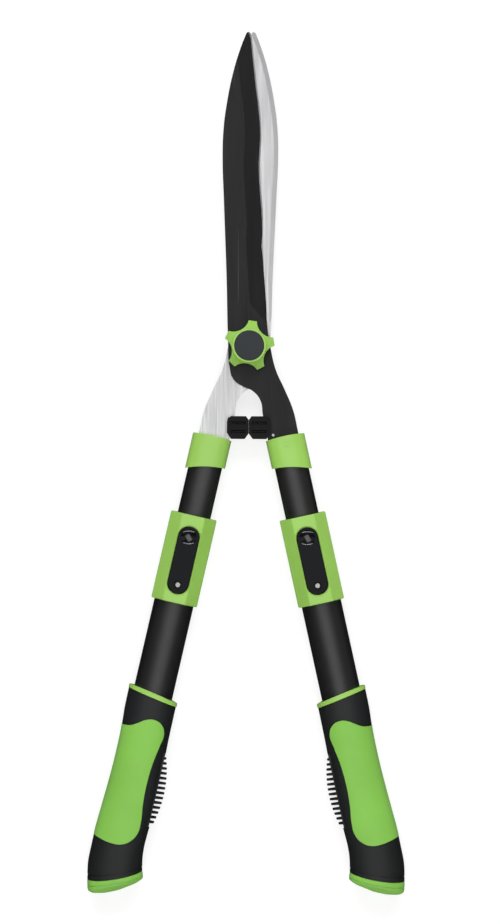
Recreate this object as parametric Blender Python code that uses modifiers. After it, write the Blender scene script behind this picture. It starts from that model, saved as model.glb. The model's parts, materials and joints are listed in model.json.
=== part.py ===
"""Telescopic hedge shears, lying on their back, as an assembly of separate pieces.

+Y runs up the blades, +X to the right-hand grip and +Z to the front, where the tension
knob and the lock levers are. The origin is on the pivot axis, in the plane that the
shears lie on, which is the back face of the pivot bolt's head.

The front blade carries the right-hand handle and the rear blade the left-hand one.
Each handle has a frame of its own: x is the distance from the handle's axis, outward
positive, y is minus the distance down the handle from the pivot, called "down" here,
and z is measured from the mid plane between the two blades.
"""

import math

import bmesh
import bpy
from mathutils import Matrix, Vector

MM = 0.001

# Heights above the mid plane between the blades.
MID_PLANE = 12.6 * MM  # above the surface that the shears lie on
BLADE_GAP = 0.3 * MM  # from the mid plane to each blade
BLADE_THICKNESS = 3.4 * MM
BLADE_FACE = BLADE_GAP + BLADE_THICKNESS
FIT = 0.2 * MM  # between pieces that touch

# Handles.
HANDLE_ANGLE = math.radians(12.66)
HANDLE_OFFSET = 12.46 * MM  # from the pivot to a handle's axis
TRAVEL = 150 * MM  # of each telescopic handle
DETENT_PITCH = 25 * MM
WALL = 1.2 * MM
ARCH_STEPS = 8  # straight stretches in each end of a ferrule
OUTER_TUBE = (16.0 * MM, 9.6 * MM)  # half width, half depth
INNER_TUBE = (13.4 * MM, 7.0 * MM)
OUTER_TUBE_SPAN = (146.6 * MM, 428 * MM)  # down the handle, top and bottom
INNER_TUBE_SPAN = (85 * MM, 375 * MM)
TANG_PIN_DOWN = 95 * MM
TANG_PIN_RADIUS = 2.0 * MM
TANG_HALF_WIDTH = 7.0 * MM
TANG_END = 134 * MM

# Pivot.
BOLT_RADIUS = 4.0 * MM
BOLT_TOP = 15.0 * MM
NUT_RADIUS = 7.5 * MM  # over the corners, as the bolt's head
KNOB_BASE = 5.2 * MM
KNOB_TOP = 17.0 * MM
CAP_RADIUS = 11.85 * MM
CAP_TOP = 18.0 * MM

# Lock.
HOUSING_SPAN = (142 * MM, 213 * MM)
HOUSING_FRONT = 18 * MM
WINDOW_DOWN = 178.5 * MM  # the middle of the window, and the lever's pivot
WINDOW_SIZE = (17.6 * MM, 55 * MM)
LEVER_SIZE = (16.6 * MM, 53 * MM)
LEVER_FACES = (13.6 * MM, 17.6 * MM)
LEVER_PIN_HEIGHT = 14.3 * MM
LEVER_PIN_RADIUS = 1.5 * MM
THUMB_DOWN = 159.5 * MM
LOCK_PIN_DOWN = 198.5 * MM
LOCK_PIN_RADIUS = 2.4 * MM
SCREW_DOWN = 206.5 * MM

# Grip.
PAD_THICKNESS = 1.3 * MM
FIN_COUNT = 14
FIN_PITCH = 4.0 * MM
FIN_START = 336.8 * MM
FIN_THICKNESS = 1.8 * MM
FIN_HALF_DEPTH = 6.5 * MM
FIN_ROOT = -20.7 * MM  # from the handle's axis

ROUND = 16  # sides of a round piece
OVAL = 24  # sides of a tube

COLOURS = {  # colour, roughness, metallic
    "coated_steel": ((0.035, 0.036, 0.038), 0.5, 0.6),
    "bright_steel": ((0.72, 0.73, 0.74), 0.28, 1.0),
    "zinc_steel": ((0.62, 0.62, 0.6), 0.35, 1.0),
    "spring_steel": ((0.4, 0.41, 0.43), 0.3, 1.0),
    "black_tube": ((0.03, 0.03, 0.032), 0.38, 0.2),
    "green_plastic": ((0.25, 0.56, 0.09), 0.35, 0.0),
    "green_rubber": ((0.23, 0.53, 0.09), 0.6, 0.0),
    "black_plastic": ((0.03, 0.031, 0.035), 0.4, 0.0),
    "black_rubber": ((0.02, 0.021, 0.022), 0.65, 0.0),
    "bumper_rubber": ((0.015, 0.015, 0.016), 0.35, 0.0),
    "gloss_black": ((0.012, 0.013, 0.015), 0.18, 0.0),
}


# ---------------------------------------------------------------- making solids


def material(name):
    """The named material, made once."""
    if name in bpy.data.materials:
        return bpy.data.materials[name]
    colour, roughness, metallic = COLOURS[name]
    made = bpy.data.materials.new(name)
    made.use_nodes = True
    shader = made.node_tree.nodes["Principled BSDF"]
    shader.inputs["Base Color"].default_value = (*colour, 1)
    shader.inputs["Roughness"].default_value = roughness
    shader.inputs["Metallic"].default_value = metallic
    made.diffuse_color = (*colour, 1)
    return made


def mesh_object(mesh):
    """An object in the scene that holds this mesh."""
    made = bpy.data.objects.new(mesh.name, mesh)
    bpy.context.scene.collection.objects.link(made)
    return made


def from_bmesh(bm):
    mesh = bpy.data.meshes.new("piece")
    bmesh.ops.recalc_face_normals(bm, faces=bm.faces)
    bm.to_mesh(mesh)
    bm.free()
    return mesh_object(mesh)


def baked(obj):
    """The object as Blender evaluates it, as a plain mesh with its place in its points."""
    bpy.context.view_layer.update()
    evaluated = obj.evaluated_get(bpy.context.evaluated_depsgraph_get())
    mesh = bpy.data.meshes.new_from_object(evaluated)
    mesh.transform(obj.matrix_world)
    bm = bmesh.new()
    bm.from_mesh(mesh)
    bmesh.ops.remove_doubles(bm, verts=bm.verts, dist=0.000001)
    bm.to_mesh(mesh)
    bm.free()
    bpy.data.objects.remove(obj)
    return mesh_object(mesh)


def plate(loops, low, high):
    """A flat solid from closed loops in XY, the first the outline and the others holes.

    A loop is a list of points, or a pair of points and the set of indices of its sharp
    corners, which is then a smooth curve through the points.
    """
    curve = bpy.data.curves.new("plate", "CURVE")
    curve.dimensions = "2D"
    curve.fill_mode = "BOTH"
    curve.extrude = (high - low) / 2
    curve.resolution_u = 3
    for loop in loops:
        if isinstance(loop, tuple):
            add_smooth_spline(curve, *loop)
        else:
            spline = curve.splines.new("POLY")
            spline.points.add(len(loop) - 1)
            for point, (x, y) in zip(spline.points, loop):
                point.co = (x, y, 0, 1)
            spline.use_cyclic_u = True
    made = bpy.data.objects.new("plate", curve)
    bpy.context.scene.collection.objects.link(made)
    made.location.z = (low + high) / 2
    return baked(made)


def add_smooth_spline(curve, points, corners):
    spline = curve.splines.new("BEZIER")
    spline.bezier_points.add(len(points) - 1)
    spline.use_cyclic_u = True
    for index, (point, (x, y)) in enumerate(zip(spline.bezier_points, points)):
        point.co = (x, y, 0)
        kind = "VECTOR" if index in corners else "AUTO"
        point.handle_left_type = kind
        point.handle_right_type = kind


def moved(obj, matrix):
    obj.data.transform(matrix)
    return obj


def along_handle(obj):
    """Turns a plate so that its thickness, Z, runs down the handle and its Y faces forward."""
    return moved(obj, Matrix.Rotation(math.radians(90), 4, "X"))


def across_handle(obj):
    """Turns a plate so that its thickness, Z, runs across the handle, along X."""
    return moved(obj, Matrix.Rotation(math.radians(90), 4, "Y"))


def at(obj, x=0.0, y=0.0, z=0.0):
    return moved(obj, Matrix.Translation((x, y, z)))


def block(x_span, y_span, z_span):
    """A box between the given limits."""
    bm = bmesh.new()
    bmesh.ops.create_cube(bm, size=1)
    spans = (x_span, y_span, z_span)
    size = [high - low for low, high in spans]
    middle = [(high + low) / 2 for low, high in spans]
    bmesh.ops.scale(bm, vec=size, verts=bm.verts)
    bmesh.ops.translate(bm, vec=middle, verts=bm.verts)
    return from_bmesh(bm)


def cylinder(radius, low, high, sides=ROUND, top_radius=None):
    """A cylinder or cone along Z between two heights."""
    bm = bmesh.new()
    bmesh.ops.create_cone(
        bm,
        cap_ends=True,
        segments=sides,
        radius1=radius,
        radius2=radius if top_radius is None else top_radius,
        depth=high - low,
    )
    bmesh.ops.translate(bm, vec=(0, 0, (low + high) / 2), verts=bm.verts)
    return from_bmesh(bm)


def loft(sections, closed=False):
    """A solid skinned over rings of points. Closed joins the last ring to the first."""
    bm = bmesh.new()
    rings = [[bm.verts.new(point) for point in section] for section in sections]
    sides = len(rings[0])
    pairs = list(zip(rings, rings[1:]))
    if closed:
        pairs.append((rings[-1], rings[0]))
    else:
        fill_ring(bm, rings[0])
        fill_ring(bm, rings[-1])
    for one, other in pairs:
        for i in range(sides):
            j = (i + 1) % sides
            bm.faces.new((one[i], one[j], other[j], other[i]))
    return from_bmesh(bm)


def fill_ring(bm, ring):
    """Fills a ring with strips across it, so that the end of a bowed ring is bowed too."""
    for i in range(len(ring) // 2):
        strip = (ring[i], ring[i + 1], ring[-i - 1], ring[-i])
        bm.faces.new(tuple(dict.fromkeys(strip)))


def boolean(obj, other, operation):
    """Cuts, joins or intersects two meshes, and keeps only the result."""
    modifier = obj.modifiers.new(operation, "BOOLEAN")
    modifier.operation = operation
    modifier.solver = "EXACT"
    modifier.object = other
    result = baked(obj)
    bpy.data.objects.remove(other)
    return result


def cut(obj, *cutters):
    for cutter in cutters:
        obj = boolean(obj, cutter, "DIFFERENCE")
    return obj


def joined(obj, *others):
    for other in others:
        obj = boolean(obj, other, "UNION")
    return obj


def rounded(obj, width, angle=35):
    """Bevels the edges sharper than the angle, in degrees."""
    modifier = obj.modifiers.new("rounding", "BEVEL")
    modifier.width = width
    modifier.segments = 1
    modifier.angle_limit = math.radians(angle)
    return baked(obj)


# ---------------------------------------------------------------- outlines


def circle(radius, x=0.0, y=0.0, sides=ROUND):
    turn = 2 * math.pi / sides
    return [(x + radius * math.cos(turn * i), y + radius * math.sin(turn * i)) for i in range(sides)]


def oval(half_x, half_y, power=2.0, sides=OVAL):
    """An ellipse, or with a higher power a squarer oval."""
    points = []
    for i in range(sides):
        c, s = math.cos(2 * math.pi * i / sides), math.sin(2 * math.pi * i / sides)
        x = math.copysign(abs(c) ** (2 / power), c)
        y = math.copysign(abs(s) ** (2 / power), s)
        points.append((half_x * x, half_y * y))
    return points


def stadium(width, length, sides=ROUND):
    """A slot with round ends, its length along Y."""
    radius = width / 2
    reach = length / 2 - radius
    points = []
    for i in range(sides + 2):
        lower = i > sides // 2
        angle = 2 * math.pi * (i - lower) / sides
        y = radius * math.sin(angle) + (-reach if lower else reach)
        points.append((radius * math.cos(angle), y))
    return points


def handle_point(x, down):
    """A point of the right-hand handle's frame, in the frame of the blades."""
    c, s = math.cos(HANDLE_ANGLE), math.sin(HANDLE_ANGLE)
    across = HANDLE_OFFSET + x
    return (across * c + down * s, across * s - down * c)


def in_mm(points):
    return [(x * MM, y * MM) for x, y in points]


def star(tip_radius, valley_radius, half_tip, lobes=5, first=math.radians(82), steps=5):
    """Lobes with flat tips, joined by hollow arcs."""
    half_pitch = math.pi / lobes
    tip_angle = math.asin(half_tip / tip_radius)
    open_angle = half_pitch - tip_angle
    across = tip_radius * math.cos(open_angle)
    centre = (tip_radius**2 - valley_radius**2) / (2 * (across - valley_radius))
    radius = centre - valley_radius
    swing = math.asin(tip_radius * math.sin(open_angle) / radius)
    points = []
    for lobe in range(lobes):
        middle = first + (2 * lobe + 1) * half_pitch
        for i in range(steps + 1):
            angle = -swing + 2 * swing * i / steps
            out = centre - radius * math.cos(angle)
            side = radius * math.sin(angle)
            points.append(
                (
                    out * math.cos(middle) - side * math.sin(middle),
                    out * math.sin(middle) + side * math.cos(middle),
                )
            )
    return points


# ---------------------------------------------------------------- blades and pivot

# From the tip down the spine, round the heel and down the inside of the shank, in mm.
SPINE = [
    (-2, 251.3), (-3.3, 250.7), (-4.8, 247.6), (-9.3, 235.4), (-13.6, 220.8), (-18.6, 196.8),
    (-21.6, 173), (-22.2, 149), (-21, 117), (-18.4, 53), (-17, 5), (-15.6, -17), (-12.2, -27),
    (-5, -32.3), (3, -36), (9.2, -43.5), (11.2, -55),
]
# From the ferrule up the outside of the shank and along the wavy cutting edge to the tip.
EDGE = [
    (39.2, -67), (35.4, -51), (28.7, -35), (21.4, -19), (17.4, -3), (14.2, 17), (13.3, 34),
    (10.2, 80), (10.4, 102), (7.6, 141), (8.6, 169), (7.2, 189), (4.2, 213), (1.7, 236),
    (0.5, 246.5), (-0.4, 250.3),
]


def blade_outline():
    """The points of a blade with its shank and tang, and the indices of its corners."""
    tang = [
        handle_point(-13.9 * MM, 78 * MM),
        handle_point(-13.9 * MM, 82.5 * MM),
        handle_point(-TANG_HALF_WIDTH, 86.5 * MM),
        handle_point(-TANG_HALF_WIDTH, TANG_END),
        handle_point(TANG_HALF_WIDTH, TANG_END),
        handle_point(TANG_HALF_WIDTH, 86.5 * MM),
        handle_point(11.0 * MM, 81 * MM),
    ]
    points = in_mm(SPINE) + tang + in_mm(EDGE)
    return points, set(range(len(SPINE), len(SPINE) + len(tang)))


GRIND_WIDTH = 13 * MM
EDGE_THICKNESS = 0.6 * MM


def grind_cutter():
    """The wedge of steel ground off the front of the blade, along its cutting edge."""
    slope = (BLADE_THICKNESS - EDGE_THICKNESS) / GRIND_WIDTH
    # Where the grind runs out, beside the pivot, its wedge is lifted clear of the blade.
    stations = [(x * MM, y * MM, 0) for x, y in EDGE[6:-1]]
    stations = [(13.9 * MM, 16 * MM, 3.2 * MM), *stations, (-0.2 * MM, 262 * MM, 0)]
    sections = []
    for x, y, lift in stations:
        inner, outer = x - GRIND_WIDTH - 2 * MM, x + 3 * MM
        sections.append(
            [
                (inner, y, BLADE_FACE + 2 * MM * slope + lift),
                (outer, y, BLADE_FACE - (GRIND_WIDTH + 3 * MM) * slope + lift),
                (outer, y, BLADE_FACE + 6 * MM),
                (inner, y, BLADE_FACE + 6 * MM),
            ]
        )
    return loft(sections)


BUMPER_PIN_AT = (14.9 * MM, -65.5 * MM)
BUMPER_PIN_RADIUS = 1.3 * MM
SHANK_PIN_AT = (19.6 * MM, -71.2 * MM)
SHANK_PIN_RADIUS = 0.8 * MM


def blade():
    """One blade with its shank and tang, as the front one lies: ground side up."""
    holes = [
        circle(BOLT_RADIUS + FIT),
        circle(TANG_PIN_RADIUS + FIT, *handle_point(0, TANG_PIN_DOWN), sides=12),
        circle(BUMPER_PIN_RADIUS + FIT, *BUMPER_PIN_AT, sides=12),
        circle(SHANK_PIN_RADIUS + FIT, *SHANK_PIN_AT, sides=12),
    ]
    body = plate([blade_outline(), *holes], BLADE_GAP, BLADE_FACE)
    return cut(body, grind_cutter())


def bumper():
    """The rubber buffer clipped over the inner edge of the right-hand shank."""
    outline = in_mm(
        [
            (0.15, -59.2), (2.2, -56.2), (14, -56.2), (16.6, -57.6), (17.4, -60.5),
            (17.4, -69.5), (14.2, -74.4), (3.2, -74.4), (0.15, -70),
        ]
    )
    half_depth = 6.8 * MM
    body = plate([outline], -half_depth, half_depth)
    grooves = [
        at(across_handle(cylinder(1.1 * MM, 2.4 * MM, 14.6 * MM)), y=y, z=z)
        for y in (-61.6 * MM, -68.4 * MM)
        for z in (-half_depth - 0.2 * MM, half_depth + 0.2 * MM)
    ]
    body = rounded(cut(body, *grooves), 0.45 * MM)
    slot = block((10.9 * MM, 20 * MM), (-80 * MM, -50 * MM), (0, BLADE_FACE + 0.3 * MM))
    hole = cylinder(BUMPER_PIN_RADIUS + FIT, -9 * MM, 9 * MM, 12)
    return cut(body, slot, at(hole, *BUMPER_PIN_AT))


def bumper_pin():
    """The pin through the bumper and the shank, just short of flush at both ends."""
    return at(cylinder(BUMPER_PIN_RADIUS, -6.6 * MM, 6.6 * MM, 12), *BUMPER_PIN_AT)


def shank_pin():
    """The small pin that locates the ferrule, proud of the shank."""
    low, high = BLADE_GAP + 0.3 * MM, BLADE_FACE + 0.5 * MM
    return at(cylinder(SHANK_PIN_RADIUS, low, high, 12), *SHANK_PIN_AT)


def pivot_bolt():
    head = rounded(cylinder(NUT_RADIUS, -MID_PLANE, -7.25 * MM, 6), 0.5 * MM)
    shank = cylinder(BOLT_RADIUS, -8 * MM, BOLT_TOP)
    return joined(head, shank)


def washer(radius, low, high):
    return plate([circle(radius), circle(BOLT_RADIUS + FIT)], low, high)


def wave_washer():
    """A spring washer bent into three waves."""
    inner, outer = BOLT_RADIUS + FIT, 7.6 * MM
    middle, wave, half = -6.35 * MM, 0.3 * MM, 0.4 * MM
    sections = []
    for i in range(24):
        angle = 2 * math.pi * i / 24
        height = middle + wave * math.sin(3 * angle)
        sections.append(
            [
                (radius * math.cos(angle), radius * math.sin(angle), height + side)
                for radius, side in ((inner, -half), (outer, -half), (outer, half), (inner, half))
            ]
        )
    return loft(sections, closed=True)


def tension_knob():
    """The five-lobed knob, hollow for its nut and with a seat for its cap."""
    body = plate([star(20.3 * MM, 14.2 * MM, 3.3 * MM)], KNOB_BASE, KNOB_TOP)
    body = rounded(body, 0.9 * MM)
    return cut(
        body,
        cylinder(CAP_RADIUS + FIT, 15.2 * MM, 20 * MM, 32),
        cylinder(NUT_RADIUS + FIT, 8.2 * MM, 16 * MM, 6),
        cylinder(BOLT_RADIUS + FIT, 0, 9 * MM),
    )


def knob_nut():
    body = cylinder(NUT_RADIUS, 8.4 * MM, 14.8 * MM, 6)
    return cut(body, cylinder(BOLT_RADIUS + FIT / 2, 5 * MM, 16 * MM))


def knob_cap():
    return rounded(cylinder(CAP_RADIUS, 15.4 * MM, CAP_TOP, 32), 0.5 * MM)


# ---------------------------------------------------------------- handle, upper part


def tube(half_size, span):
    """An oval tube down the handle."""
    half_x, half_z = half_size
    ring = [oval(half_x, half_z), oval(half_x - WALL, half_z - WALL)]
    return along_handle(plate(ring, *span))


def oval_bar(half_x, half_z, top, bottom, power=2.0):
    return along_handle(plate([oval(half_x, half_z, power)], top, bottom))


def front_hole(radius, down, low, high):
    """A round cutter through the front or back of a handle piece, along Z."""
    return at(cylinder(radius, low, high, 12), y=-down)


def ferrule():
    """The collar over the top of the inner tube, arched across both of its ends."""
    width = 15.7 * MM
    outline = []
    for i in range(ARCH_STEPS + 1):
        across = 1 - 2 * i / ARCH_STEPS
        arch = 1 - across * across
        outline.append((across * width * 1.1, -77.6 * MM + 1.3 * MM * arch))
    for i in range(ARCH_STEPS + 1):
        across = 2 * i / ARCH_STEPS - 1
        arch = 1 - across * across
        # The lower end is square to the blades, not to the handle.
        slant = across * width * math.tan(HANDLE_ANGLE)
        outline.append((across * width * 1.1, -103.6 * MM - slant + 1.9 * MM * arch))
    front = plate([outline], -20 * MM, 20 * MM)
    body = boolean(oval_bar(width, 10.2 * MM, 70 * MM, 115 * MM, 2.6), front, "INTERSECT")
    bore = oval_bar(INNER_TUBE[0] + FIT, INNER_TUBE[1] + FIT, 84.6 * MM, 115 * MM)
    slot = block((-14.2 * MM, 11.4 * MM), (-88 * MM, -70 * MM), (0, BLADE_FACE + 0.3 * MM))
    return rounded(cut(body, bore, slot), 0.5 * MM, angle=60)


def inner_tube():
    """The tube that slides, with its row of lock holes and the hole for the tang's pin."""
    body = tube(INNER_TUBE, INNER_TUBE_SPAN)
    detents = range(round(TRAVEL / DETENT_PITCH) + 1)
    holes = [
        front_hole(3.1 * MM, LOCK_PIN_DOWN + DETENT_PITCH * i, 0, 10 * MM) for i in detents
    ]
    pin_hole = front_hole(TANG_PIN_RADIUS + FIT, TANG_PIN_DOWN, -10 * MM, 10 * MM)
    return cut(body, pin_hole, *holes)


def tang_insert():
    """The nylon block that holds the tang in the tube."""
    half_x, half_z = INNER_TUBE[0] - WALL - FIT, INNER_TUBE[1] - WALL - FIT
    body = oval_bar(half_x, half_z, 87 * MM, 138 * MM)
    half_slot = TANG_HALF_WIDTH + 0.3 * MM
    slot = block((-half_slot, half_slot), (-134.4 * MM, -80 * MM), (0, BLADE_FACE + 0.3 * MM))
    return cut(body, slot, front_hole(TANG_PIN_RADIUS + FIT, TANG_PIN_DOWN, -9 * MM, 9 * MM))


def tang_pin():
    return front_hole(TANG_PIN_RADIUS, TANG_PIN_DOWN, -6.6 * MM, 6.6 * MM)


def slide_bush():
    """The plug in the bottom of the inner tube, whose flange runs in the outer tube."""
    flange_top = INNER_TUBE_SPAN[1] + FIT
    spigot = oval_bar(
        INNER_TUBE[0] - WALL - FIT, INNER_TUBE[1] - WALL - FIT, 358 * MM, flange_top + 1 * MM
    )
    flange = oval_bar(
        OUTER_TUBE[0] - WALL - FIT, OUTER_TUBE[1] - WALL - FIT, flange_top, flange_top + 7 * MM
    )
    core = oval_bar(8 * MM, 3 * MM, 350 * MM, 390 * MM)
    return cut(joined(flange, spigot), core)


# ---------------------------------------------------------------- handle, lock


def outer_tube():
    body = tube(OUTER_TUBE, OUTER_TUBE_SPAN)
    lock_hole = front_hole(LOCK_PIN_RADIUS + 1 * MM, LOCK_PIN_DOWN, 0, 12 * MM)
    return cut(body, lock_hole, front_hole(1.6 * MM, SCREW_DOWN, -12 * MM, 0))


def guide_bush():
    """The sleeve in the mouth of the outer tube that the inner tube runs in."""
    outer = oval(OUTER_TUBE[0] - WALL - FIT, OUTER_TUBE[1] - WALL - FIT)
    inner = oval(INNER_TUBE[0] + FIT, INNER_TUBE[1] + FIT)
    return along_handle(plate([outer, inner], 142.6 * MM, 166 * MM))


def housing_section():
    """The housing's faceted outline, looking down the handle, front up."""
    right = [
        (9.4 * MM, HOUSING_FRONT), (18.6 * MM, 9 * MM), (18.6 * MM, -6.5 * MM),
        (13 * MM, -MID_PLANE),
    ]
    left = [(-x, z) for x, z in reversed(right)]
    return right + left


def lock_housing():
    body = along_handle(plate([housing_section()], *HOUSING_SPAN))
    body = rounded(body, 1.2 * MM)
    tube_seat = oval_bar(OUTER_TUBE[0] + FIT, OUTER_TUBE[1] + FIT, 146.2 * MM, 220 * MM)
    mouth = oval_bar(OUTER_TUBE[0] - WALL, OUTER_TUBE[1] - WALL, 135 * MM, 150 * MM)
    window = at(plate([stadium(*WINDOW_SIZE)], 5 * MM, 25 * MM), y=-WINDOW_DOWN)
    pin_radius = LEVER_PIN_RADIUS + 0.1 * MM
    pin_hole = across_handle(cylinder(pin_radius, -11.4 * MM, 11.4 * MM, 12))
    pin_hole = at(pin_hole, y=-WINDOW_DOWN, z=LEVER_PIN_HEIGHT)
    screw_hole = front_hole(1.6 * MM, SCREW_DOWN, -15 * MM, -5 * MM)
    screw_seat = at(cylinder(5.4 * MM, -15 * MM, -10.2 * MM, 12, 1.2 * MM), y=-SCREW_DOWN)
    return cut(body, tube_seat, mouth, window, pin_hole, screw_hole, screw_seat)


def housing_screw():
    """The countersunk screw from the back that holds the housing to the outer tube."""
    head = cylinder(2.8 * MM, -MID_PLANE + 0.2 * MM, -10.9 * MM, 12, 1.4 * MM)
    shank = cylinder(1.3 * MM, -11.6 * MM, -7.8 * MM, 12)
    socket = cylinder(1.5 * MM, -15 * MM, -MID_PLANE + 1.2 * MM, 6)
    return at(cut(joined(head, shank), socket), y=-SCREW_DOWN)


def lock_lever():
    """The rocker: a thumb dish at its top, the locking pin at its bottom."""
    low, high = LEVER_FACES
    body = at(rounded(plate([stadium(*LEVER_SIZE)], low, high), 0.7 * MM), y=-WINDOW_DOWN)
    boss = across_handle(cylinder(3.0 * MM, -5.5 * MM, 5.5 * MM, 16))
    body = joined(body, at(boss, y=-WINDOW_DOWN, z=LEVER_PIN_HEIGHT))
    bm = bmesh.new()
    dish_radius = 12.4 * MM
    bmesh.ops.create_uvsphere(bm, u_segments=16, v_segments=48, radius=dish_radius)
    dish = at(from_bmesh(bm), y=-THUMB_DOWN, z=high - 1.8 * MM + dish_radius)
    bore = across_handle(cylinder(LEVER_PIN_RADIUS + FIT, -12 * MM, 12 * MM, 12))
    bore = at(bore, y=-WINDOW_DOWN, z=LEVER_PIN_HEIGHT)
    return cut(
        body,
        dish,
        bore,
        front_hole(LOCK_PIN_RADIUS + FIT, LOCK_PIN_DOWN, 0, 16.2 * MM),
        front_hole(3.6 * MM, LOCK_PIN_DOWN, 16.2 * MM, 20 * MM),
        front_hole(1.0 * MM, LOCK_PIN_DOWN, 15 * MM, 20 * MM),
        front_hole(3.5 * MM, THUMB_DOWN, 0, 15.1 * MM),
    )


def lever_pivot_pin():
    pin = across_handle(cylinder(LEVER_PIN_RADIUS, -11.2 * MM, 11.2 * MM, 12))
    return at(pin, y=-WINDOW_DOWN, z=LEVER_PIN_HEIGHT)


def locking_pin():
    """The pin that the lever lifts. Its tip stands just clear of the inner tube."""
    tip = INNER_TUBE[1] + 0.3 * MM
    pin = rounded(cylinder(LOCK_PIN_RADIUS, tip, 16.0 * MM, 16), 0.5 * MM)
    rivet = cylinder(0.8 * MM, 15.5 * MM, 16.9 * MM, 12)
    return at(joined(pin, rivet), y=-LOCK_PIN_DOWN)


def lever_spring():
    """The coil under the thumb end of the lever."""
    turns, per_turn, radius, wire = 4, 8, 2.6 * MM, 0.35 * MM
    low, high = OUTER_TUBE[1] + 0.6 * MM, 14.7 * MM
    curve = bpy.data.curves.new("spring", "CURVE")
    curve.dimensions = "3D"
    curve.bevel_depth = wire
    curve.bevel_resolution = 0
    curve.use_fill_caps = True
    spline = curve.splines.new("POLY")
    count = turns * per_turn + 1
    spline.points.add(count - 1)
    for i, point in enumerate(spline.points):
        angle = 2 * math.pi * i / per_turn
        height = low + (high - low) * i / (count - 1)
        point.co = (radius * math.cos(angle), radius * math.sin(angle), height, 1)
    made = bpy.data.objects.new("spring", curve)
    bpy.context.scene.collection.objects.link(made)
    return at(baked(made), y=-THUMB_DOWN)


# ---------------------------------------------------------------- handle, grip

# The grip's two edges in the handle's frame, in mm: outer x, down; inner x, down. Then
# come its depth, as a share of its full depth, and how far its front and back bow down.
GRIP_STATIONS = [
    (19.9, 287.7, -20.3, 295, 1, 0),
    (19.7, 303, -20.4, 307, 1, 0),
    (19.0, 314, -20.5, 317, 1, 0),
    (18.4, 327, -20.8, 330, 1, 0),
    (18.4, 348, -21.6, 348, 1, 0),
    (19.0, 366, -21.8, 366, 1, 0),
    (20.0, 386, -21.8, 382, 1, 0),
    (20.8, 402, -21.2, 396, 1, 0),
    (20.8, 418, -20.8, 408, 1, 0),
    (20.4, 431, -21.5, 418, 1, 0.8),
    (17.8, 444.5, -23.5, 428, 1, 2.5),
]
RING_STATIONS = [(20.2, 284.6, -20.8, 291.9, 1, -1.2), (20.2, 287.2, -20.8, 294.5, 1, 0)]
CAP_STATIONS = [
    (17.7, 444.9, -23.6, 428.4, 1, 2.5),
    (17.0, 448.2, -24.8, 431.4, 0.985, 2.2),
    (16.0, 451.6, -25.2, 433.6, 0.95, 1.2),
    (14.6, 453.6, -24.3, 435.4, 0.88, 0.4),
    (10.5, 454.3, -20.0, 439.6, 0.7, 0),
    (3.0, 452.6, -10.0, 446.6, 0.35, 0),
]
# The pad's edge in the handle's frame, in mm, from its top round the inner side. It runs
# out past the grip's outer edge, where the pad wraps round to the back.
PAD_OUTLINE = [
    (26, 318), (18, 317.2), (11.4, 316), (6, 312.8), (0.6, 309.3), (-5.4, 307.8), (-12, 310),
    (-16, 317), (-14.8, 328), (-12.6, 342), (-11.6, 360), (-12.2, 375), (-13.9, 390),
    (-13.4, 399), (-9, 406.4), (-2.2, 410.4), (5.1, 411), (14.2, 409.7), (26, 406.5),
]
GRIP_FRONT = 13.4 * MM
GRIP_BACK = MID_PLANE
GRIP_SIDES = 18
GRIP_POWER = 2.3


def grip_section(station, inset=0.0):
    """One oval ring of the grip, from its outer to its inner edge, drawn in by the inset."""
    *edges, share, bow = station
    outer_x, outer_down, inner_x, inner_down = (value * MM for value in edges)
    outer, inner = Vector((outer_x, -outer_down, 0)), Vector((inner_x, -inner_down, 0))
    middle, half = (outer + inner) / 2, (outer - inner) / 2
    half *= 1 - inset / half.length
    points = []
    for x, z in oval(1, 1, GRIP_POWER, GRIP_SIDES):
        depth = (GRIP_FRONT if z > 0 else GRIP_BACK) * share - inset
        points.append(middle + half * x + Vector((0, -bow * MM * z * z, z * depth)))
    return points


def grip_solid(inset=0.0):
    return loft([grip_section(row, inset) for row in GRIP_STATIONS])


def pad_prism(grow=0.0):
    """A block through the grip with the pad's outline, grown all round."""
    points = in_mm([(x, -down) for x, down in PAD_OUTLINE])
    body = plate([(points, {0, len(points) - 1})], -20 * MM, 20 * MM)
    if not grow:
        return body
    middle = Vector((0, -360 * MM, 0))
    size = Vector((16 * MM, 52 * MM, 1))
    scale = Matrix.Diagonal((1 + grow / size.x, 1 + grow / size.y, 1, 1))
    return moved(body, Matrix.Translation(middle) @ scale @ Matrix.Translation(-middle))


def grip_bore():
    return oval_bar(OUTER_TUBE[0] + FIT, OUTER_TUBE[1] + FIT, 270 * MM, 470 * MM)


def grip_body():
    """The black moulding over the tube, with seats for the pad and for the fins."""
    seat = cut(pad_prism(0.3 * MM), grip_solid(PAD_THICKNESS + 0.3 * MM))
    return cut(grip_solid(), seat, fin_base(0.2 * MM), grip_bore())


def grip_pad():
    """The green soft skin that wraps the outer side of the grip."""
    body = boolean(grip_solid(), pad_prism(), "INTERSECT")
    return cut(body, grip_solid(PAD_THICKNESS))


def fin_tip(down):
    """How far a fin stands out from the handle's axis: a shallow bulge under the fingers."""
    return -26.9 * MM + 5.5 * (down - 366 * MM) ** 2


def fin_base(grow=0.0):
    """The strip that carries the fins, let into the inner side of the grip."""
    x_span = (-30 * MM if grow else FIN_ROOT, -17.7 * MM + grow)
    y_span = (-393 * MM - grow, -332.5 * MM + grow)
    half = FIN_HALF_DEPTH + grow
    return block(x_span, y_span, (-half, half))


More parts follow.
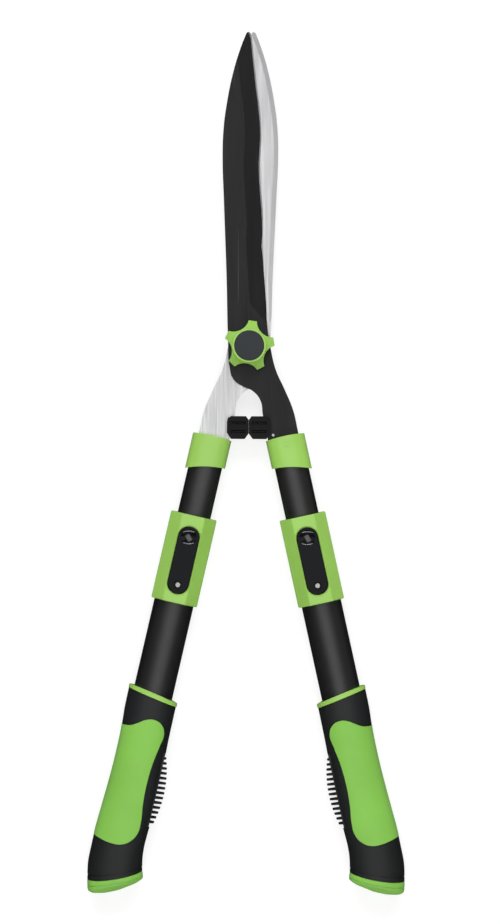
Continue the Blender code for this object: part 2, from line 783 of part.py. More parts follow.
def finger_fins():
    """The comb of soft fins under the fingers, in one piece with its base strip."""
    half = FIN_THICKNESS / 2
    outline = [(-17.7 * MM, -332.5 * MM), (FIN_ROOT, -332.5 * MM)]
    for i in range(FIN_COUNT):
        middle = FIN_START + FIN_PITCH * i
        tip = fin_tip(middle)
        outline += [
            (FIN_ROOT, -middle + half),
            (tip + 0.5 * MM, -middle + half * 0.8),
            (tip, -middle + half * 0.3),
            (tip, -middle - half * 0.3),
            (tip + 0.5 * MM, -middle - half * 0.8),
            (FIN_ROOT, -middle - half),
        ]
    outline += [(FIN_ROOT, -393 * MM), (-17.7 * MM, -393 * MM)]
    return plate([outline], -FIN_HALF_DEPTH, FIN_HALF_DEPTH)


def grip_ring():
    """The green collar round the mouth of the grip."""
    body = loft([grip_section(row) for row in RING_STATIONS])
    return cut(rounded(body, 0.7 * MM, angle=50), grip_bore())


def end_cap():
    """The green cap on the slanted end of the grip, with a plug that fits the tube."""
    body = loft([grip_section(row) for row in CAP_STATIONS])
    half_x, half_z = OUTER_TUBE[0] - WALL - FIT, OUTER_TUBE[1] - WALL - FIT
    plug = oval_bar(half_x, half_z, 416 * MM, 442 * MM)
    hollow = oval_bar(half_x - 2 * MM, half_z - 2 * MM, 410 * MM, 438 * MM)
    return joined(body, cut(plug, hollow))


# ---------------------------------------------------------------- assembly


def empty(name, parent=None, location=(0, 0, 0), turn_z=0.0, mirror=False):
    made = bpy.data.objects.new(name, None)
    bpy.context.scene.collection.objects.link(made)
    made.parent = parent
    made.location = location
    made.rotation_euler.z = turn_z
    made.scale.x = -1 if mirror else 1
    return made


def add(collection, name, piece, finish, parent):
    """Names a piece, gives it its material and hangs it on its empty."""
    piece.name = name
    piece.data.name = name
    piece.data.materials.clear()
    piece.data.materials.append(material(finish))
    piece.data.shade_smooth()
    piece.data.set_sharp_from_angle(angle=math.radians(32))
    piece.parent = parent
    for old in piece.users_collection:
        old.objects.unlink(piece)
    collection.objects.link(piece)
    return piece


def copy_to(collection, piece, name, parent, turned=False):
    """The same piece for the other side: mirrored by its parent, or turned over about Y."""
    made = piece.copy()
    made.name = name
    made.parent = parent
    made.rotation_euler.y = math.pi if turned else 0
    collection.objects.link(made)
    return made


TANG_PIECES = {
    "ferrule": (ferrule, "green_plastic"),
    "tang_insert": (tang_insert, "black_plastic"),
}
ARM_PIECES = {
    "inner_tube": (inner_tube, "black_tube"),
    "tang_pin": (tang_pin, "zinc_steel"),
    "slide_bush": (slide_bush, "black_plastic"),
}
GRIP_PIECES = {
    "outer_tube": (outer_tube, "black_tube"),
    "guide_bush": (guide_bush, "black_plastic"),
    "lock_housing": (lock_housing, "green_plastic"),
    "housing_screw": (housing_screw, "zinc_steel"),
    "lever_pivot_pin": (lever_pivot_pin, "coated_steel"),
    "lever_spring": (lever_spring, "spring_steel"),
    "grip_ring": (grip_ring, "green_plastic"),
    "grip_body": (grip_body, "black_rubber"),
    "grip_pad": (grip_pad, "green_rubber"),
    "finger_fins": (finger_fins, "black_rubber"),
    "end_cap": (end_cap, "green_rubber"),
}
LEVER_PIECES = {
    "lock_lever": (lock_lever, "gloss_black"),
    "locking_pin": (locking_pin, "zinc_steel"),
}
PIVOT_PIECES = {
    "pivot_bolt": (pivot_bolt, "zinc_steel"),
    "bolt_washer": (lambda: washer(8 * MM, -5.4 * MM, -3.85 * MM), "zinc_steel"),
    "wave_washer": (wave_washer, "spring_steel"),
    "friction_washer": (lambda: washer(11 * MM, -0.15 * MM, 0.15 * MM), "black_plastic"),
}
KNOB_PIECES = {
    "knob_washer": (lambda: washer(9 * MM, 3.9 * MM, 5.0 * MM), "zinc_steel"),
    "tension_knob": (tension_knob, "green_plastic"),
    "knob_nut": (knob_nut, "zinc_steel"),
    "knob_cap": (knob_cap, "black_plastic"),
}


def build_handle_pair(collection, pieces, right, left, turned=False, origin=(0, 0, 0)):
    """Makes each piece for the right-hand handle, and its copy for the left-hand one."""
    for name, (make, finish) in pieces.items():
        piece = at(make(), *(-value for value in origin))
        add(collection, "right_" + name, piece, finish, right)
        copy_to(collection, piece, "left_" + name, left, turned)


def build():
    for old in list(bpy.data.objects):
        bpy.data.objects.remove(old)
    shears = bpy.data.collections.new("hedge_shears")
    bpy.context.scene.collection.children.link(shears)

    arms = {side: empty(side + "_arm", location=(0, 0, MID_PLANE)) for side in ("rear", "front")}
    offset_x = HANDLE_OFFSET * math.cos(HANDLE_ANGLE)
    offset_y = HANDLE_OFFSET * math.sin(HANDLE_ANGLE)
    right = empty("right_handle_axis", arms["front"], (offset_x, offset_y, 0), HANDLE_ANGLE)
    left = empty("left_handle_axis", arms["rear"], (-offset_x, offset_y, 0), -HANDLE_ANGLE, True)
    plain_left = empty("left_tang_axis", arms["rear"], (-offset_x, offset_y, 0), -HANDLE_ANGLE)
    lever_at = (0, -WINDOW_DOWN, LEVER_PIN_HEIGHT)
    right_lever = empty("right_lever_axis", right, lever_at)
    left_lever = empty("left_lever_axis", left, lever_at)
    knob_axis = empty("knob_axis", arms["rear"])

    front_blade = add(shears, "front_blade", blade(), "coated_steel", arms["front"])
    rear_blade = copy_to(shears, front_blade, "rear_blade", arms["rear"], turned=True)
    rear_blade.data = rear_blade.data.copy()
    rear_blade.data.materials[0] = material("bright_steel")
    for name, make, finish in (
        ("bumper", bumper, "bumper_rubber"),
        ("bumper_pin", bumper_pin, "black_plastic"),
        ("shank_pin", shank_pin, "zinc_steel"),
    ):
        piece = add(shears, "right_" + name, make(), finish, arms["front"])
        copy_to(shears, piece, "left_" + name, arms["rear"], turned=True)

    for name, (make, finish) in PIVOT_PIECES.items():
        add(shears, name, make(), finish, arms["rear"])
    for name, (make, finish) in KNOB_PIECES.items():
        add(shears, name, make(), finish, knob_axis)

    build_handle_pair(shears, TANG_PIECES, right, plain_left, turned=True)
    build_handle_pair(shears, ARM_PIECES, right, left)
    build_handle_pair(shears, GRIP_PIECES, right, left)
    build_handle_pair(shears, LEVER_PIECES, right_lever, left_lever, origin=lever_at)


build()
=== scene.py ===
"""The telescopic hedge shears, finished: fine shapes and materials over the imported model.

Everything is in metres, in the frame of the model: +Y runs up the blades, +X to the
right-hand grip and +Z to the front, and the pivot's axis is at x = y = 0. Each handle
has a frame of its own: x is the distance from the handle's axis, outward positive, y is
minus the distance down the handle from the pivot, called "down" here, and z is measured
from the mid plane between the two blades.
"""

import json
import math

import bmesh
import bpy
from mathutils import Matrix, Vector


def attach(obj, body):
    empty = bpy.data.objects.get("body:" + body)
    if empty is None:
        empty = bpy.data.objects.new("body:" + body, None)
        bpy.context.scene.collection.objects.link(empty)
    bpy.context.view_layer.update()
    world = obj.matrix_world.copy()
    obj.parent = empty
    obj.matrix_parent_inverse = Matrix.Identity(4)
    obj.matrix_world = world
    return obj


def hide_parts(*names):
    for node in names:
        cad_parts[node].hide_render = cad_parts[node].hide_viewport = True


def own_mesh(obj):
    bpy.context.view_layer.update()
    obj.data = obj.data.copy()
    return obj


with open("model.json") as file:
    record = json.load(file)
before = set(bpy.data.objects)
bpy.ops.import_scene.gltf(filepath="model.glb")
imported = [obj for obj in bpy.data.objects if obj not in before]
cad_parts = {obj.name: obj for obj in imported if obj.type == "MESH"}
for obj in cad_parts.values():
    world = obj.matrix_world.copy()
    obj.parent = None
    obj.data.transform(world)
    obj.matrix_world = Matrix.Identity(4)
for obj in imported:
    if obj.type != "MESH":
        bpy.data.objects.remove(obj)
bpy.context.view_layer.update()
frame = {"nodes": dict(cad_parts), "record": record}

MM = 0.001

# Heights above the mid plane between the blades.
MID_PLANE = 12.6 * MM  # above the surface that the shears lie on
BLADE_GAP = 0.3 * MM  # from the mid plane to each blade
BLADE_THICKNESS = 3.4 * MM
BLADE_FACE = BLADE_GAP + BLADE_THICKNESS
FIT = 0.2 * MM  # between pieces that touch
SHANK_SLOT_HEIGHTS = (0, BLADE_FACE + 0.3 * MM)  # of the slots that a shank goes through

# Handles.
HANDLE_ANGLE = math.radians(12.66)
HANDLE_OFFSET = 12.46 * MM  # from the pivot to a handle's axis
DETENT_PITCH = 25 * MM
DETENT_RADIUS = 3.1 * MM
DETENTS = 7
WALL = 1.2 * MM
OUTER_TUBE = (16.0 * MM, 9.6 * MM)  # half width, half depth
INNER_TUBE = (13.4 * MM, 7.0 * MM)
OUTER_TUBE_SPAN = (146.6 * MM, 428 * MM)  # down the handle, top and bottom
INNER_TUBE_SPAN = (85 * MM, 375 * MM)
TANG_PIN_DOWN = 95 * MM
TANG_PIN_RADIUS = 2.0 * MM
FERRULE_SIZE = (15.7 * MM, 10.2 * MM)  # half width, half depth
FERRULE_POWER = 2.6  # how square its oval is: 2 is an ellipse
FERRULE_SPAN = (77.6 * MM, 103.6 * MM)  # down the handle, on its axis, without the arches
FERRULE_ARCHES = (1.3 * MM, 1.9 * MM)  # at the top and at the bottom
GATE_MARK_DOWN = 83 * MM

# Pivot.
BOLT_RADIUS = 4.0 * MM
NUT_RADIUS = 7.5 * MM
KNOB_BASE = 5.2 * MM
KNOB_TOP = 17.0 * MM
KNOB_RIM_RADIUS = 13.7 * MM
KNOB_LOBES = 5
KNOB_TURN = math.radians(82)  # from +X to the middle of a lobe
LOBE_RADIUS = 20.3 * MM  # from the axis to a corner of a lobe
LOBE_HALF_WIDTH = 3.3 * MM  # of its flat tip
VALLEY_RADIUS = 14.2 * MM  # from the axis to the bottom of a hollow
CAP_RADIUS = 11.85 * MM
CAP_TOP = 18.0 * MM

# Lock.
HOUSING_SPAN = (142 * MM, 213 * MM)
HOUSING_FRONT = 18 * MM
HOUSING_HALF_WIDTH = 18.6 * MM
SEAM_DEPTH = 0.4 * MM
SEAM_HALF_WIDTH = 0.15 * MM
WINDOW_DOWN = 178.5 * MM
WINDOW_SIZE = (17.6 * MM, 55 * MM)
LEVER_SIZE = (16.6 * MM, 53 * MM)
LEVER_FACES = (13.6 * MM, 17.6 * MM)
LEVER_PIN_HEIGHT = 14.3 * MM
LEVER_PIN_RADIUS = 1.5 * MM
THUMB_DOWN = 159.5 * MM
DISH_RADIUS = 12.4 * MM  # of the sphere that hollows out the thumb dish
DISH_DEPTH = 1.8 * MM
DISH_REACH = 6.6 * MM  # from the middle of the dish to its rim
SPRING_SPAN = (10.2 * MM, 14.7 * MM)
SPRING_RADIUS = 2.6 * MM
SPRING_WIRE = 0.35 * MM
LOCK_PIN_DOWN = 198.5 * MM
LOCK_PIN_RADIUS = 2.4 * MM
LOCK_PIN_SEAT = 16.2 * MM  # height at which the pin's hole widens for its head
SCREW_DOWN = 206.5 * MM
SCREW_RADIUS = 1.6 * MM

# Grip.
PAD_THICKNESS = 1.3 * MM
PAD_GAP = 0.3 * MM  # from the pad to its seat in the grip
FIN_COUNT = 14
FIN_PITCH = 4.0 * MM
FIN_START = 336.8 * MM
FIN_THICKNESS = 1.7 * MM
FIN_HALF_DEPTH = 6.5 * MM
FIN_ROOT = -20.7 * MM  # from the handle's axis
FIN_TILT = math.radians(6)  # towards the blades
FIN_TAPER = (0.72, 0.7)  # of the tip's thickness and depth to the root's
FIN_PEAK = (-26.9 * MM, 366 * MM)  # the tip of the longest fin: x, down
FIN_BULGE = 5.5  # how the tips fall back: by this times the square of the distance
FIN_STRIP_INNER = -17.7 * MM
FIN_STRIP_SPAN = (332.5 * MM, 393 * MM)  # down the handle

# How finely curves are drawn.
ROUND = 64  # sides of a round piece
KNOB_SIDES = 96  # sides of the knob's and its cap's round parts
OVAL = 128  # sides of a tube
HEXAGON = 6  # sides of the nut's pocket
HOLE_SIDES = 32
BLADE_HOLE_SIDES = 12
ARCH_STEPS = 24  # straight stretches in each end of a ferrule
HOLLOW_STEPS = 16  # straight stretches in each hollow of the knob
EDGE_STEPS = 4  # stretches between two points of the cutting edge
SPINE_STEPS = 6  # stretches between two points of the spine
GRIP_STEPS = 6  # stretches between two stations of the grip


# ---------------------------------------------------------------- making solids


def mesh_object(mesh):
    made = bpy.data.objects.new(mesh.name, mesh)
    bpy.context.scene.collection.objects.link(made)
    return made


def from_bmesh(bm, name="piece"):
    mesh = bpy.data.meshes.new(name)
    bmesh.ops.recalc_face_normals(bm, faces=bm.faces)
    bm.to_mesh(mesh)
    bm.free()
    return mesh_object(mesh)


def baked(obj):
    """The object as Blender evaluates it, as a plain mesh with its place in its points."""
    bpy.context.view_layer.update()
    evaluated = obj.evaluated_get(bpy.context.evaluated_depsgraph_get())
    mesh = bpy.data.meshes.new_from_object(evaluated)
    mesh.transform(obj.matrix_world)
    bm = bmesh.new()
    bm.from_mesh(mesh)
    bmesh.ops.remove_doubles(bm, verts=bm.verts, dist=0.000001)
    bm.to_mesh(mesh)
    bm.free()
    bpy.data.objects.remove(obj)
    return mesh_object(mesh)


def plate(loops, low, high):
    """A flat solid from closed loops in XY, the first the outline and the others holes.

    A loop is a list of points, or a pair of points and the set of indices of its sharp
    corners, which is then a smooth curve through the points.
    """
    curve = bpy.data.curves.new("plate", "CURVE")
    curve.dimensions = "2D"
    curve.fill_mode = "BOTH"
    curve.extrude = (high - low) / 2
    curve.resolution_u = 12
    for loop in loops:
        if isinstance(loop, tuple):
            add_smooth_spline(curve, *loop)
        else:
            spline = curve.splines.new("POLY")
            spline.points.add(len(loop) - 1)
            for point, (x, y) in zip(spline.points, loop):
                point.co = (x, y, 0, 1)
            spline.use_cyclic_u = True
    made = bpy.data.objects.new("plate", curve)
    bpy.context.scene.collection.objects.link(made)
    made.location.z = (low + high) / 2
    return baked(made)


def add_smooth_spline(curve, points, corners):
    spline = curve.splines.new("BEZIER")
    spline.bezier_points.add(len(points) - 1)
    spline.use_cyclic_u = True
    for index, (point, (x, y)) in enumerate(zip(spline.bezier_points, points)):
        point.co = (x, y, 0)
        kind = "VECTOR" if index in corners else "AUTO"
        point.handle_left_type = kind
        point.handle_right_type = kind


def moved(obj, matrix):
    """Moves a mesh's points, and turns its faces round where the matrix mirrors it."""
    obj.data.transform(matrix)
    if matrix.determinant() < 0:
        obj.data.flip_normals()
    return obj


def at(obj, x=0.0, y=0.0, z=0.0):
    return moved(obj, Matrix.Translation((x, y, z)))


def along_handle(obj):
    """Turns a plate so that its thickness, Z, runs down the handle and its Y faces forward."""
    return moved(obj, Matrix.Rotation(math.radians(90), 4, "X"))


def across_handle(obj):
    """Turns a plate so that its thickness, Z, runs across the handle, along X."""
    return moved(obj, Matrix.Rotation(math.radians(90), 4, "Y"))


def block(x_span, y_span, z_span):
    bm = bmesh.new()
    bmesh.ops.create_cube(bm, size=1)
    spans = (x_span, y_span, z_span)
    bmesh.ops.scale(bm, vec=[high - low for low, high in spans], verts=bm.verts)
    bmesh.ops.translate(bm, vec=[(high + low) / 2 for low, high in spans], verts=bm.verts)
    return from_bmesh(bm)


def cylinder(radius, low, high, sides=ROUND, top_radius=None):
    """A cylinder or cone along Z between two heights."""
    bm = bmesh.new()
    bmesh.ops.create_cone(
        bm,
        cap_ends=True,
        segments=sides,
        radius1=radius,
        radius2=radius if top_radius is None else top_radius,
        depth=high - low,
    )
    bmesh.ops.translate(bm, vec=(0, 0, (low + high) / 2), verts=bm.verts)
    return from_bmesh(bm)


def ring(inner, outer, low, high):
    """A square-edged ring about Z, between two radii and two heights."""
    profile = [(inner, low), (outer, low), (outer, high), (inner, high)]
    sections = []
    for i in range(ROUND):
        angle = 2 * math.pi * i / ROUND
        c, s = math.cos(angle), math.sin(angle)
        sections.append([(radius * c, radius * s, height) for radius, height in profile])
    return loft(sections, closed=True)


def loft(sections, closed=False):
    """A solid skinned over rings of points. Closed joins the last ring to the first."""
    bm = bmesh.new()
    rings = [[bm.verts.new(point) for point in section] for section in sections]
    sides = len(rings[0])
    pairs = list(zip(rings, rings[1:]))
    if closed:
        pairs.append((rings[-1], rings[0]))
    else:
        fill_ring(bm, rings[0])
        fill_ring(bm, rings[-1])
    for one, other in pairs:
        for i in range(sides):
            j = (i + 1) % sides
            bm.faces.new((one[i], one[j], other[j], other[i]))
    return from_bmesh(bm)


def fill_ring(bm, points):
    """Fills a ring with strips across it, so that the end of a bowed ring is bowed too."""
    for i in range(len(points) // 2):
        strip = (points[i], points[i + 1], points[-i - 1], points[-i])
        bm.faces.new(tuple(dict.fromkeys(strip)))


def boolean(obj, other, operation):
    """Cuts, joins or intersects two meshes, and keeps only the result."""
    modifier = obj.modifiers.new(operation, "BOOLEAN")
    modifier.operation = operation
    modifier.solver = "EXACT"
    modifier.object = other
    result = baked(obj)
    bpy.data.objects.remove(other)
    return result


def cut(obj, *cutters):
    for cutter in cutters:
        obj = boolean(obj, cutter, "DIFFERENCE")
    return obj


def joined(obj, *others):
    for other in others:
        obj = boolean(obj, other, "UNION")
    return obj


def rounded(obj, width, segments=3, angle=35):
    """Bevels the edges sharper than the angle, in degrees."""
    modifier = obj.modifiers.new("rounding", "BEVEL")
    modifier.width = width
    modifier.segments = segments
    modifier.angle_limit = math.radians(angle)
    return baked(obj)


# ---------------------------------------------------------------- outlines


def circle(radius, x=0.0, y=0.0, sides=ROUND):
    turn = 2 * math.pi / sides
    angles = [turn * i for i in range(sides)]
    return [(x + radius * math.cos(angle), y + radius * math.sin(angle)) for angle in angles]


def oval(half_x, half_y, power=2.0, sides=OVAL):
    """An ellipse, or with a higher power a squarer oval."""
    points = []
    for i in range(sides):
        angle = 2 * math.pi * i / sides
        c, s = math.cos(angle), math.sin(angle)
        x = math.copysign(abs(c) ** (2 / power), c)
        y = math.copysign(abs(s) ** (2 / power), s)
        points.append((half_x * x, half_y * y))
    return points


def stadium(width, length, sides=ROUND):
    """A slot with round ends, its length along Y."""
    radius = width / 2
    reach = length / 2 - radius
    points = []
    for i in range(sides + 2):
        lower = i > sides // 2
        angle = 2 * math.pi * (i - lower) / sides
        y = radius * math.sin(angle) + (-reach if lower else reach)
        points.append((radius * math.cos(angle), y))
    return points


def handle_point(x, down):
    """A point of the right-hand handle's frame, in the frame of the blades."""
    c, s = math.cos(HANDLE_ANGLE), math.sin(HANDLE_ANGLE)
    across = HANDLE_OFFSET + x
    return (across * c + down * s, across * s - down * c)


def in_mm(points):
    return [(x * MM, y * MM) for x, y in points]


def between(rows, steps):
    """A smooth run of rows through the given ones, with steps to each gap."""
    padded = [rows[0], *rows, rows[-1]]
    run = []
    for i in range(len(rows) - 1):
        before, start, end, after = padded[i : i + 4]
        for k in range(steps):
            u = k / steps
            weights = (
                -0.5 * u + u * u - 0.5 * u**3,
                1 - 2.5 * u * u + 1.5 * u**3,
                0.5 * u + 2 * u * u - 1.5 * u**3,
                -0.5 * u * u + 0.5 * u**3,
            )
            four = zip(before, start, end, after)
            run.append(tuple(sum(w * v for w, v in zip(weights, values)) for values in four))
    return [*run, rows[-1]]


# ---------------------------------------------------------------- blades and pivot

# From the tip down the spine, round the heel and down the inside of the shank, in mm.
SPINE = [
    (-2, 251.3), (-3.3, 250.7), (-4.8, 247.6), (-9.3, 235.4), (-13.6, 220.8), (-18.6, 196.8),
    (-21.6, 173), (-22.2, 149), (-21, 117), (-18.4, 53), (-17, 5), (-15.6, -17), (-12.2, -27),
    (-5, -32.3), (3, -36), (9.2, -43.5), (11.2, -55),
]
# From the ferrule up the outside of the shank and along the wavy cutting edge to the tip.
EDGE = [
    (39.2, -67), (35.4, -51), (28.7, -35), (21.4, -19), (17.4, -3), (14.2, 17), (13.3, 34),
    (10.2, 80), (10.4, 102), (7.6, 141), (8.6, 169), (7.2, 189), (4.2, 213), (1.7, 236),
    (0.5, 246.5), (-0.4, 250.3),
]
# The tang and the shank's shoulders in the handle's frame: x and down, in mm.
TANG = [(-13.9, 78), (-13.9, 82.5), (-7, 86.5), (-7, 134), (7, 134), (7, 86.5), (11, 81)]
GRIND_WIDTH = 13 * MM
EDGE_THICKNESS = 0.6 * MM
GRIND_SLOPE = (BLADE_THICKNESS - EDGE_THICKNESS) / GRIND_WIDTH
SHARPENED_WIDTH = 0.9 * MM
SHARPENED_ANGLE = math.radians(24)
BEVEL_START = 30 * MM  # y from which the sharpened bevel is bare steel
CHAMFER_WIDTH = 3.6 * MM
CHAMFER_DEPTH = 0.35 * MM
# The right-hand bumper's outline, in mm.
BUMPER_OUTLINE = [
    (0.03, -59.2), (2.2, -56.2), (14, -56.2), (16.6, -57.6), (17.4, -60.5), (17.4, -69.5),
    (14.2, -74.4), (3.2, -74.4), (0.03, -70),
]
BUMPER_HALF_DEPTH = 6.8 * MM
BUMPER_GROOVES = (-61.6 * MM, -68.4 * MM)  # y of the grooves across its front and back
BUMPER_PIN_AT = (14.9 * MM, -65.5 * MM)
BUMPER_PIN_RADIUS = 1.3 * MM
SHANK_PIN_AT = (19.6 * MM, -71.2 * MM)
SHANK_PIN_RADIUS = 0.8 * MM


def blade_outline():
    """The points of a blade with its shank and tang, and the indices of its corners."""
    tang = [handle_point(x * MM, down * MM) for x, down in TANG]
    points = in_mm(SPINE) + tang + in_mm(EDGE)
    return points, set(range(len(SPINE), len(SPINE) + len(tang)))


def planing_cutter(stations, start, level, slope, reach, clear):
    """A wedge that planes a slope along a blade.

    A station is a point on the blade's border and how far the wedge is lifted there. The
    slope is at the given level where it starts, at that distance from the border. Reach is
    the wedge's extent from the border, on the blade and off it, and clear is the height of
    its far face.
    """
    on_blade, off_blade = (level - slope * (side - start) for side in reach)
    sections = []
    for x, y, lift in stations:
        inner, outer = x + reach[0], x + reach[1]
        sections.append(
            [
                (inner, y, on_blade + lift),
                (outer, y, off_blade + lift),
                (outer, y, clear),
                (inner, y, clear),
            ]
        )
    return loft(sections)


def grind_cutter():
    """The wedge of steel ground off the front of the blade, along its cutting edge."""
    # Where the grind runs out, beside the pivot, its wedge is lifted clear of the blade.
    stations = [(x * MM, y * MM, 0) for x, y in between(EDGE[6:-1], EDGE_STEPS)]
    stations = [(13.9 * MM, 16 * MM, 3.2 * MM), *stations, (-0.2 * MM, 262 * MM, 0)]
    reach = (-GRIND_WIDTH - 2 * MM, 3 * MM)
    clear = BLADE_FACE + 6 * MM
    return planing_cutter(stations, -GRIND_WIDTH, BLADE_FACE, GRIND_SLOPE, reach, clear)


def sharpening_cutter():
    """The steep narrow bevel that sharpens the cutting edge."""
    slope = math.tan(SHARPENED_ANGLE)
    level = BLADE_GAP + EDGE_THICKNESS + GRIND_SLOPE * SHARPENED_WIDTH
    # The bevel runs out, narrower and narrower, before it reaches the pivot.
    stations = [(x * MM, y * MM, 0) for x, y in between(EDGE[7:], EDGE_STEPS)]
    stations = [(13.9 * MM, 26 * MM, 0.5 * MM), *stations, (-1.2 * MM, 256 * MM, 0)]
    reach = (-SHARPENED_WIDTH - 1 * MM, 2 * MM)
    return planing_cutter(stations, -SHARPENED_WIDTH, level, slope, reach, BLADE_FACE + 1 * MM)


def spine_cutter():
    """The narrow chamfer along the back of the blade, on its inner face."""
    slope = CHAMFER_DEPTH / CHAMFER_WIDTH
    stations = [(x * MM, y * MM, 0) for x, y in between(SPINE[2:10], SPINE_STEPS)]
    stations = [(-3.2 * MM, 256 * MM, 0), *stations, (-19.5 * MM, 20 * MM, 0)]
    reach = (CHAMFER_WIDTH + 1 * MM, -2 * MM)
    return planing_cutter(stations, CHAMFER_WIDTH, BLADE_GAP, slope, reach, BLADE_GAP - 3 * MM)


def blade():
    """One blade with its shank and tang, as the front one lies: ground side up."""
    holes = [
        circle(BOLT_RADIUS + FIT),
        circle(TANG_PIN_RADIUS + FIT, *handle_point(0, TANG_PIN_DOWN), BLADE_HOLE_SIDES),
        circle(BUMPER_PIN_RADIUS + FIT, *BUMPER_PIN_AT, BLADE_HOLE_SIDES),
        circle(SHANK_PIN_RADIUS + FIT, *SHANK_PIN_AT, BLADE_HOLE_SIDES),
    ]
    body = plate([blade_outline(), *holes], BLADE_GAP, BLADE_FACE)
    body = rounded(body, 0.6 * MM, 3, angle=50)
    return cut(body, grind_cutter(), sharpening_cutter(), spine_cutter())


def bumper():
    """The rubber buffer clipped over the inner edge of the right-hand shank."""
    body = plate([in_mm(BUMPER_OUTLINE)], -BUMPER_HALF_DEPTH, BUMPER_HALF_DEPTH)
    groove_height = BUMPER_HALF_DEPTH + 0.2 * MM
    grooves = [
        at(across_handle(cylinder(1.1 * MM, 2.4 * MM, 14.6 * MM)), y=y, z=z)
        for y in BUMPER_GROOVES
        for z in (-groove_height, groove_height)
    ]
    body = rounded(cut(body, *grooves), 0.45 * MM, 3)
    shank_slot = block((10.9 * MM, 20 * MM), (-80 * MM, -50 * MM), SHANK_SLOT_HEIGHTS)
    # The rubber is closed over both ends of its pin.
    half_hole = BUMPER_HALF_DEPTH - 0.1 * MM
    hole = cylinder(BUMPER_PIN_RADIUS + FIT, -half_hole, half_hole, HOLE_SIDES)
    return cut(body, shank_slot, at(hole, *BUMPER_PIN_AT))


def knob_outline():
    """Lobes with flat tips, joined by hollow arcs."""
    half_pitch = math.pi / KNOB_LOBES
    open_angle = half_pitch - math.asin(LOBE_HALF_WIDTH / LOBE_RADIUS)
    # How far out a hollow's two corners are, along its middle line.
    across = LOBE_RADIUS * math.cos(open_angle)
    centre = (LOBE_RADIUS**2 - VALLEY_RADIUS**2) / (2 * (across - VALLEY_RADIUS))
    radius = centre - VALLEY_RADIUS
    swing = math.asin(LOBE_RADIUS * math.sin(open_angle) / radius)
    points = []
    for lobe in range(KNOB_LOBES):
        middle = KNOB_TURN + (2 * lobe + 1) * half_pitch
        for i in range(HOLLOW_STEPS + 1):
            angle = -swing + 2 * swing * i / HOLLOW_STEPS
            out = centre - radius * math.cos(angle)
            side = radius * math.sin(angle)
            points.append(
                (
                    out * math.cos(middle) - side * math.sin(middle),
                    out * math.sin(middle) + side * math.cos(middle),
                )
            )
    return points


def tension_knob():
    """The five-lobed knob, hollow for its nut, with a raised rim round its cap.

    The lobes fall away from the rim, and their corners are round.
    """
    body = plate([knob_outline()], KNOB_BASE, KNOB_TOP)
    body = rounded(body, 1.4 * MM, 5, angle=40)
    # A wide cone gives the lobes their fall.
    cone_base, cone_top = KNOB_BASE - 11.4 * MM, KNOB_TOP - 1.5 * MM
    cone = cylinder(40 * MM, cone_base, cone_top, KNOB_SIDES, top_radius=12 * MM)
    body = rounded(boolean(body, cone, "INTERSECT"), 0.7 * MM, 4, angle=28)
    rim = cylinder(KNOB_RIM_RADIUS, KNOB_TOP - 5 * MM, KNOB_TOP, KNOB_SIDES)
    body = joined(body, rounded(rim, 0.9 * MM, 5))
    return cut(
        body,
        cylinder(CAP_RADIUS + FIT, 15.2 * MM, 20 * MM, KNOB_SIDES),
        cylinder(NUT_RADIUS + FIT, 8.2 * MM, 16 * MM, HEXAGON),
        cylinder(BOLT_RADIUS + FIT, 0, 9 * MM),
    )


def knob_cap():
    """The flat cap with its rounded border."""
    cap = cylinder(CAP_RADIUS, 15.4 * MM, CAP_TOP - 0.2 * MM, KNOB_SIDES)
    return rounded(cap, 0.6 * MM, 4)


# ---------------------------------------------------------------- handle, upper part


def tube(half_size, span):
    """An oval tube along the handle, with its outer half width and half depth."""
    half_x, half_z = half_size
    walls = [oval(half_x, half_z), oval(half_x - WALL, half_z - WALL)]
    return along_handle(plate(walls, *span))


def oval_bar(half_x, half_z, top, bottom, power=2.0):
    """An oval bar along the handle, from top to bottom as distances down it."""
    return along_handle(plate([oval(half_x, half_z, power)], top, bottom))


def front_hole(radius, down, low, high):
    """A round cutter through the front or back of a handle piece, along Z."""
    return at(cylinder(radius, low, high, HOLE_SIDES), y=-down)


def arched_end(down, arch, slope):
    """A ferrule's end from left to right, bowed towards the blades and falling by the slope."""
    points = []
    for i in range(ARCH_STEPS + 1):
        across = 2 * i / ARCH_STEPS - 1
        x = across * FERRULE_SIZE[0]
        # The end runs out a tenth past the ferrule's sides.
        points.append((x * 1.1, arch * (1 - across * across) - down - x * slope))
    return points


def ferrule():
    """The collar over the top of the inner tube, arched across both of its ends."""
    top = arched_end(FERRULE_SPAN[0], FERRULE_ARCHES[0], 0)
    # The lower end is square to the blades, not to the handle.
    bottom = arched_end(FERRULE_SPAN[1], FERRULE_ARCHES[1], math.tan(HANDLE_ANGLE))
    front = plate([top[::-1] + bottom], -20 * MM, 20 * MM)
    body = oval_bar(*FERRULE_SIZE, 70 * MM, 115 * MM, FERRULE_POWER)
    body = rounded(boolean(body, front, "INTERSECT"), 1.1 * MM, 4, angle=50)
    bore = oval_bar(INNER_TUBE[0] + FIT, INNER_TUBE[1] + FIT, 84.6 * MM, 115 * MM)
    shank_slot = block((-14.2 * MM, 11.4 * MM), (-88 * MM, -70 * MM), SHANK_SLOT_HEIGHTS)
    gate_mark = ring(2.1 * MM, 2.4 * MM, 9.9 * MM, 11 * MM)
    return cut(body, bore, shank_slot, at(gate_mark, y=-GATE_MARK_DOWN))


def inner_tube():
    """The tube that slides, with its row of lock holes and the hole for the tang's pin."""
    body = tube(INNER_TUBE, INNER_TUBE_SPAN)
    holes = [
        front_hole(DETENT_RADIUS, LOCK_PIN_DOWN + DETENT_PITCH * i, 0, 10 * MM)
        for i in range(DETENTS)
    ]
    pin_hole = front_hole(TANG_PIN_RADIUS + FIT, TANG_PIN_DOWN, -10 * MM, 10 * MM)
    return cut(body, pin_hole, *holes)


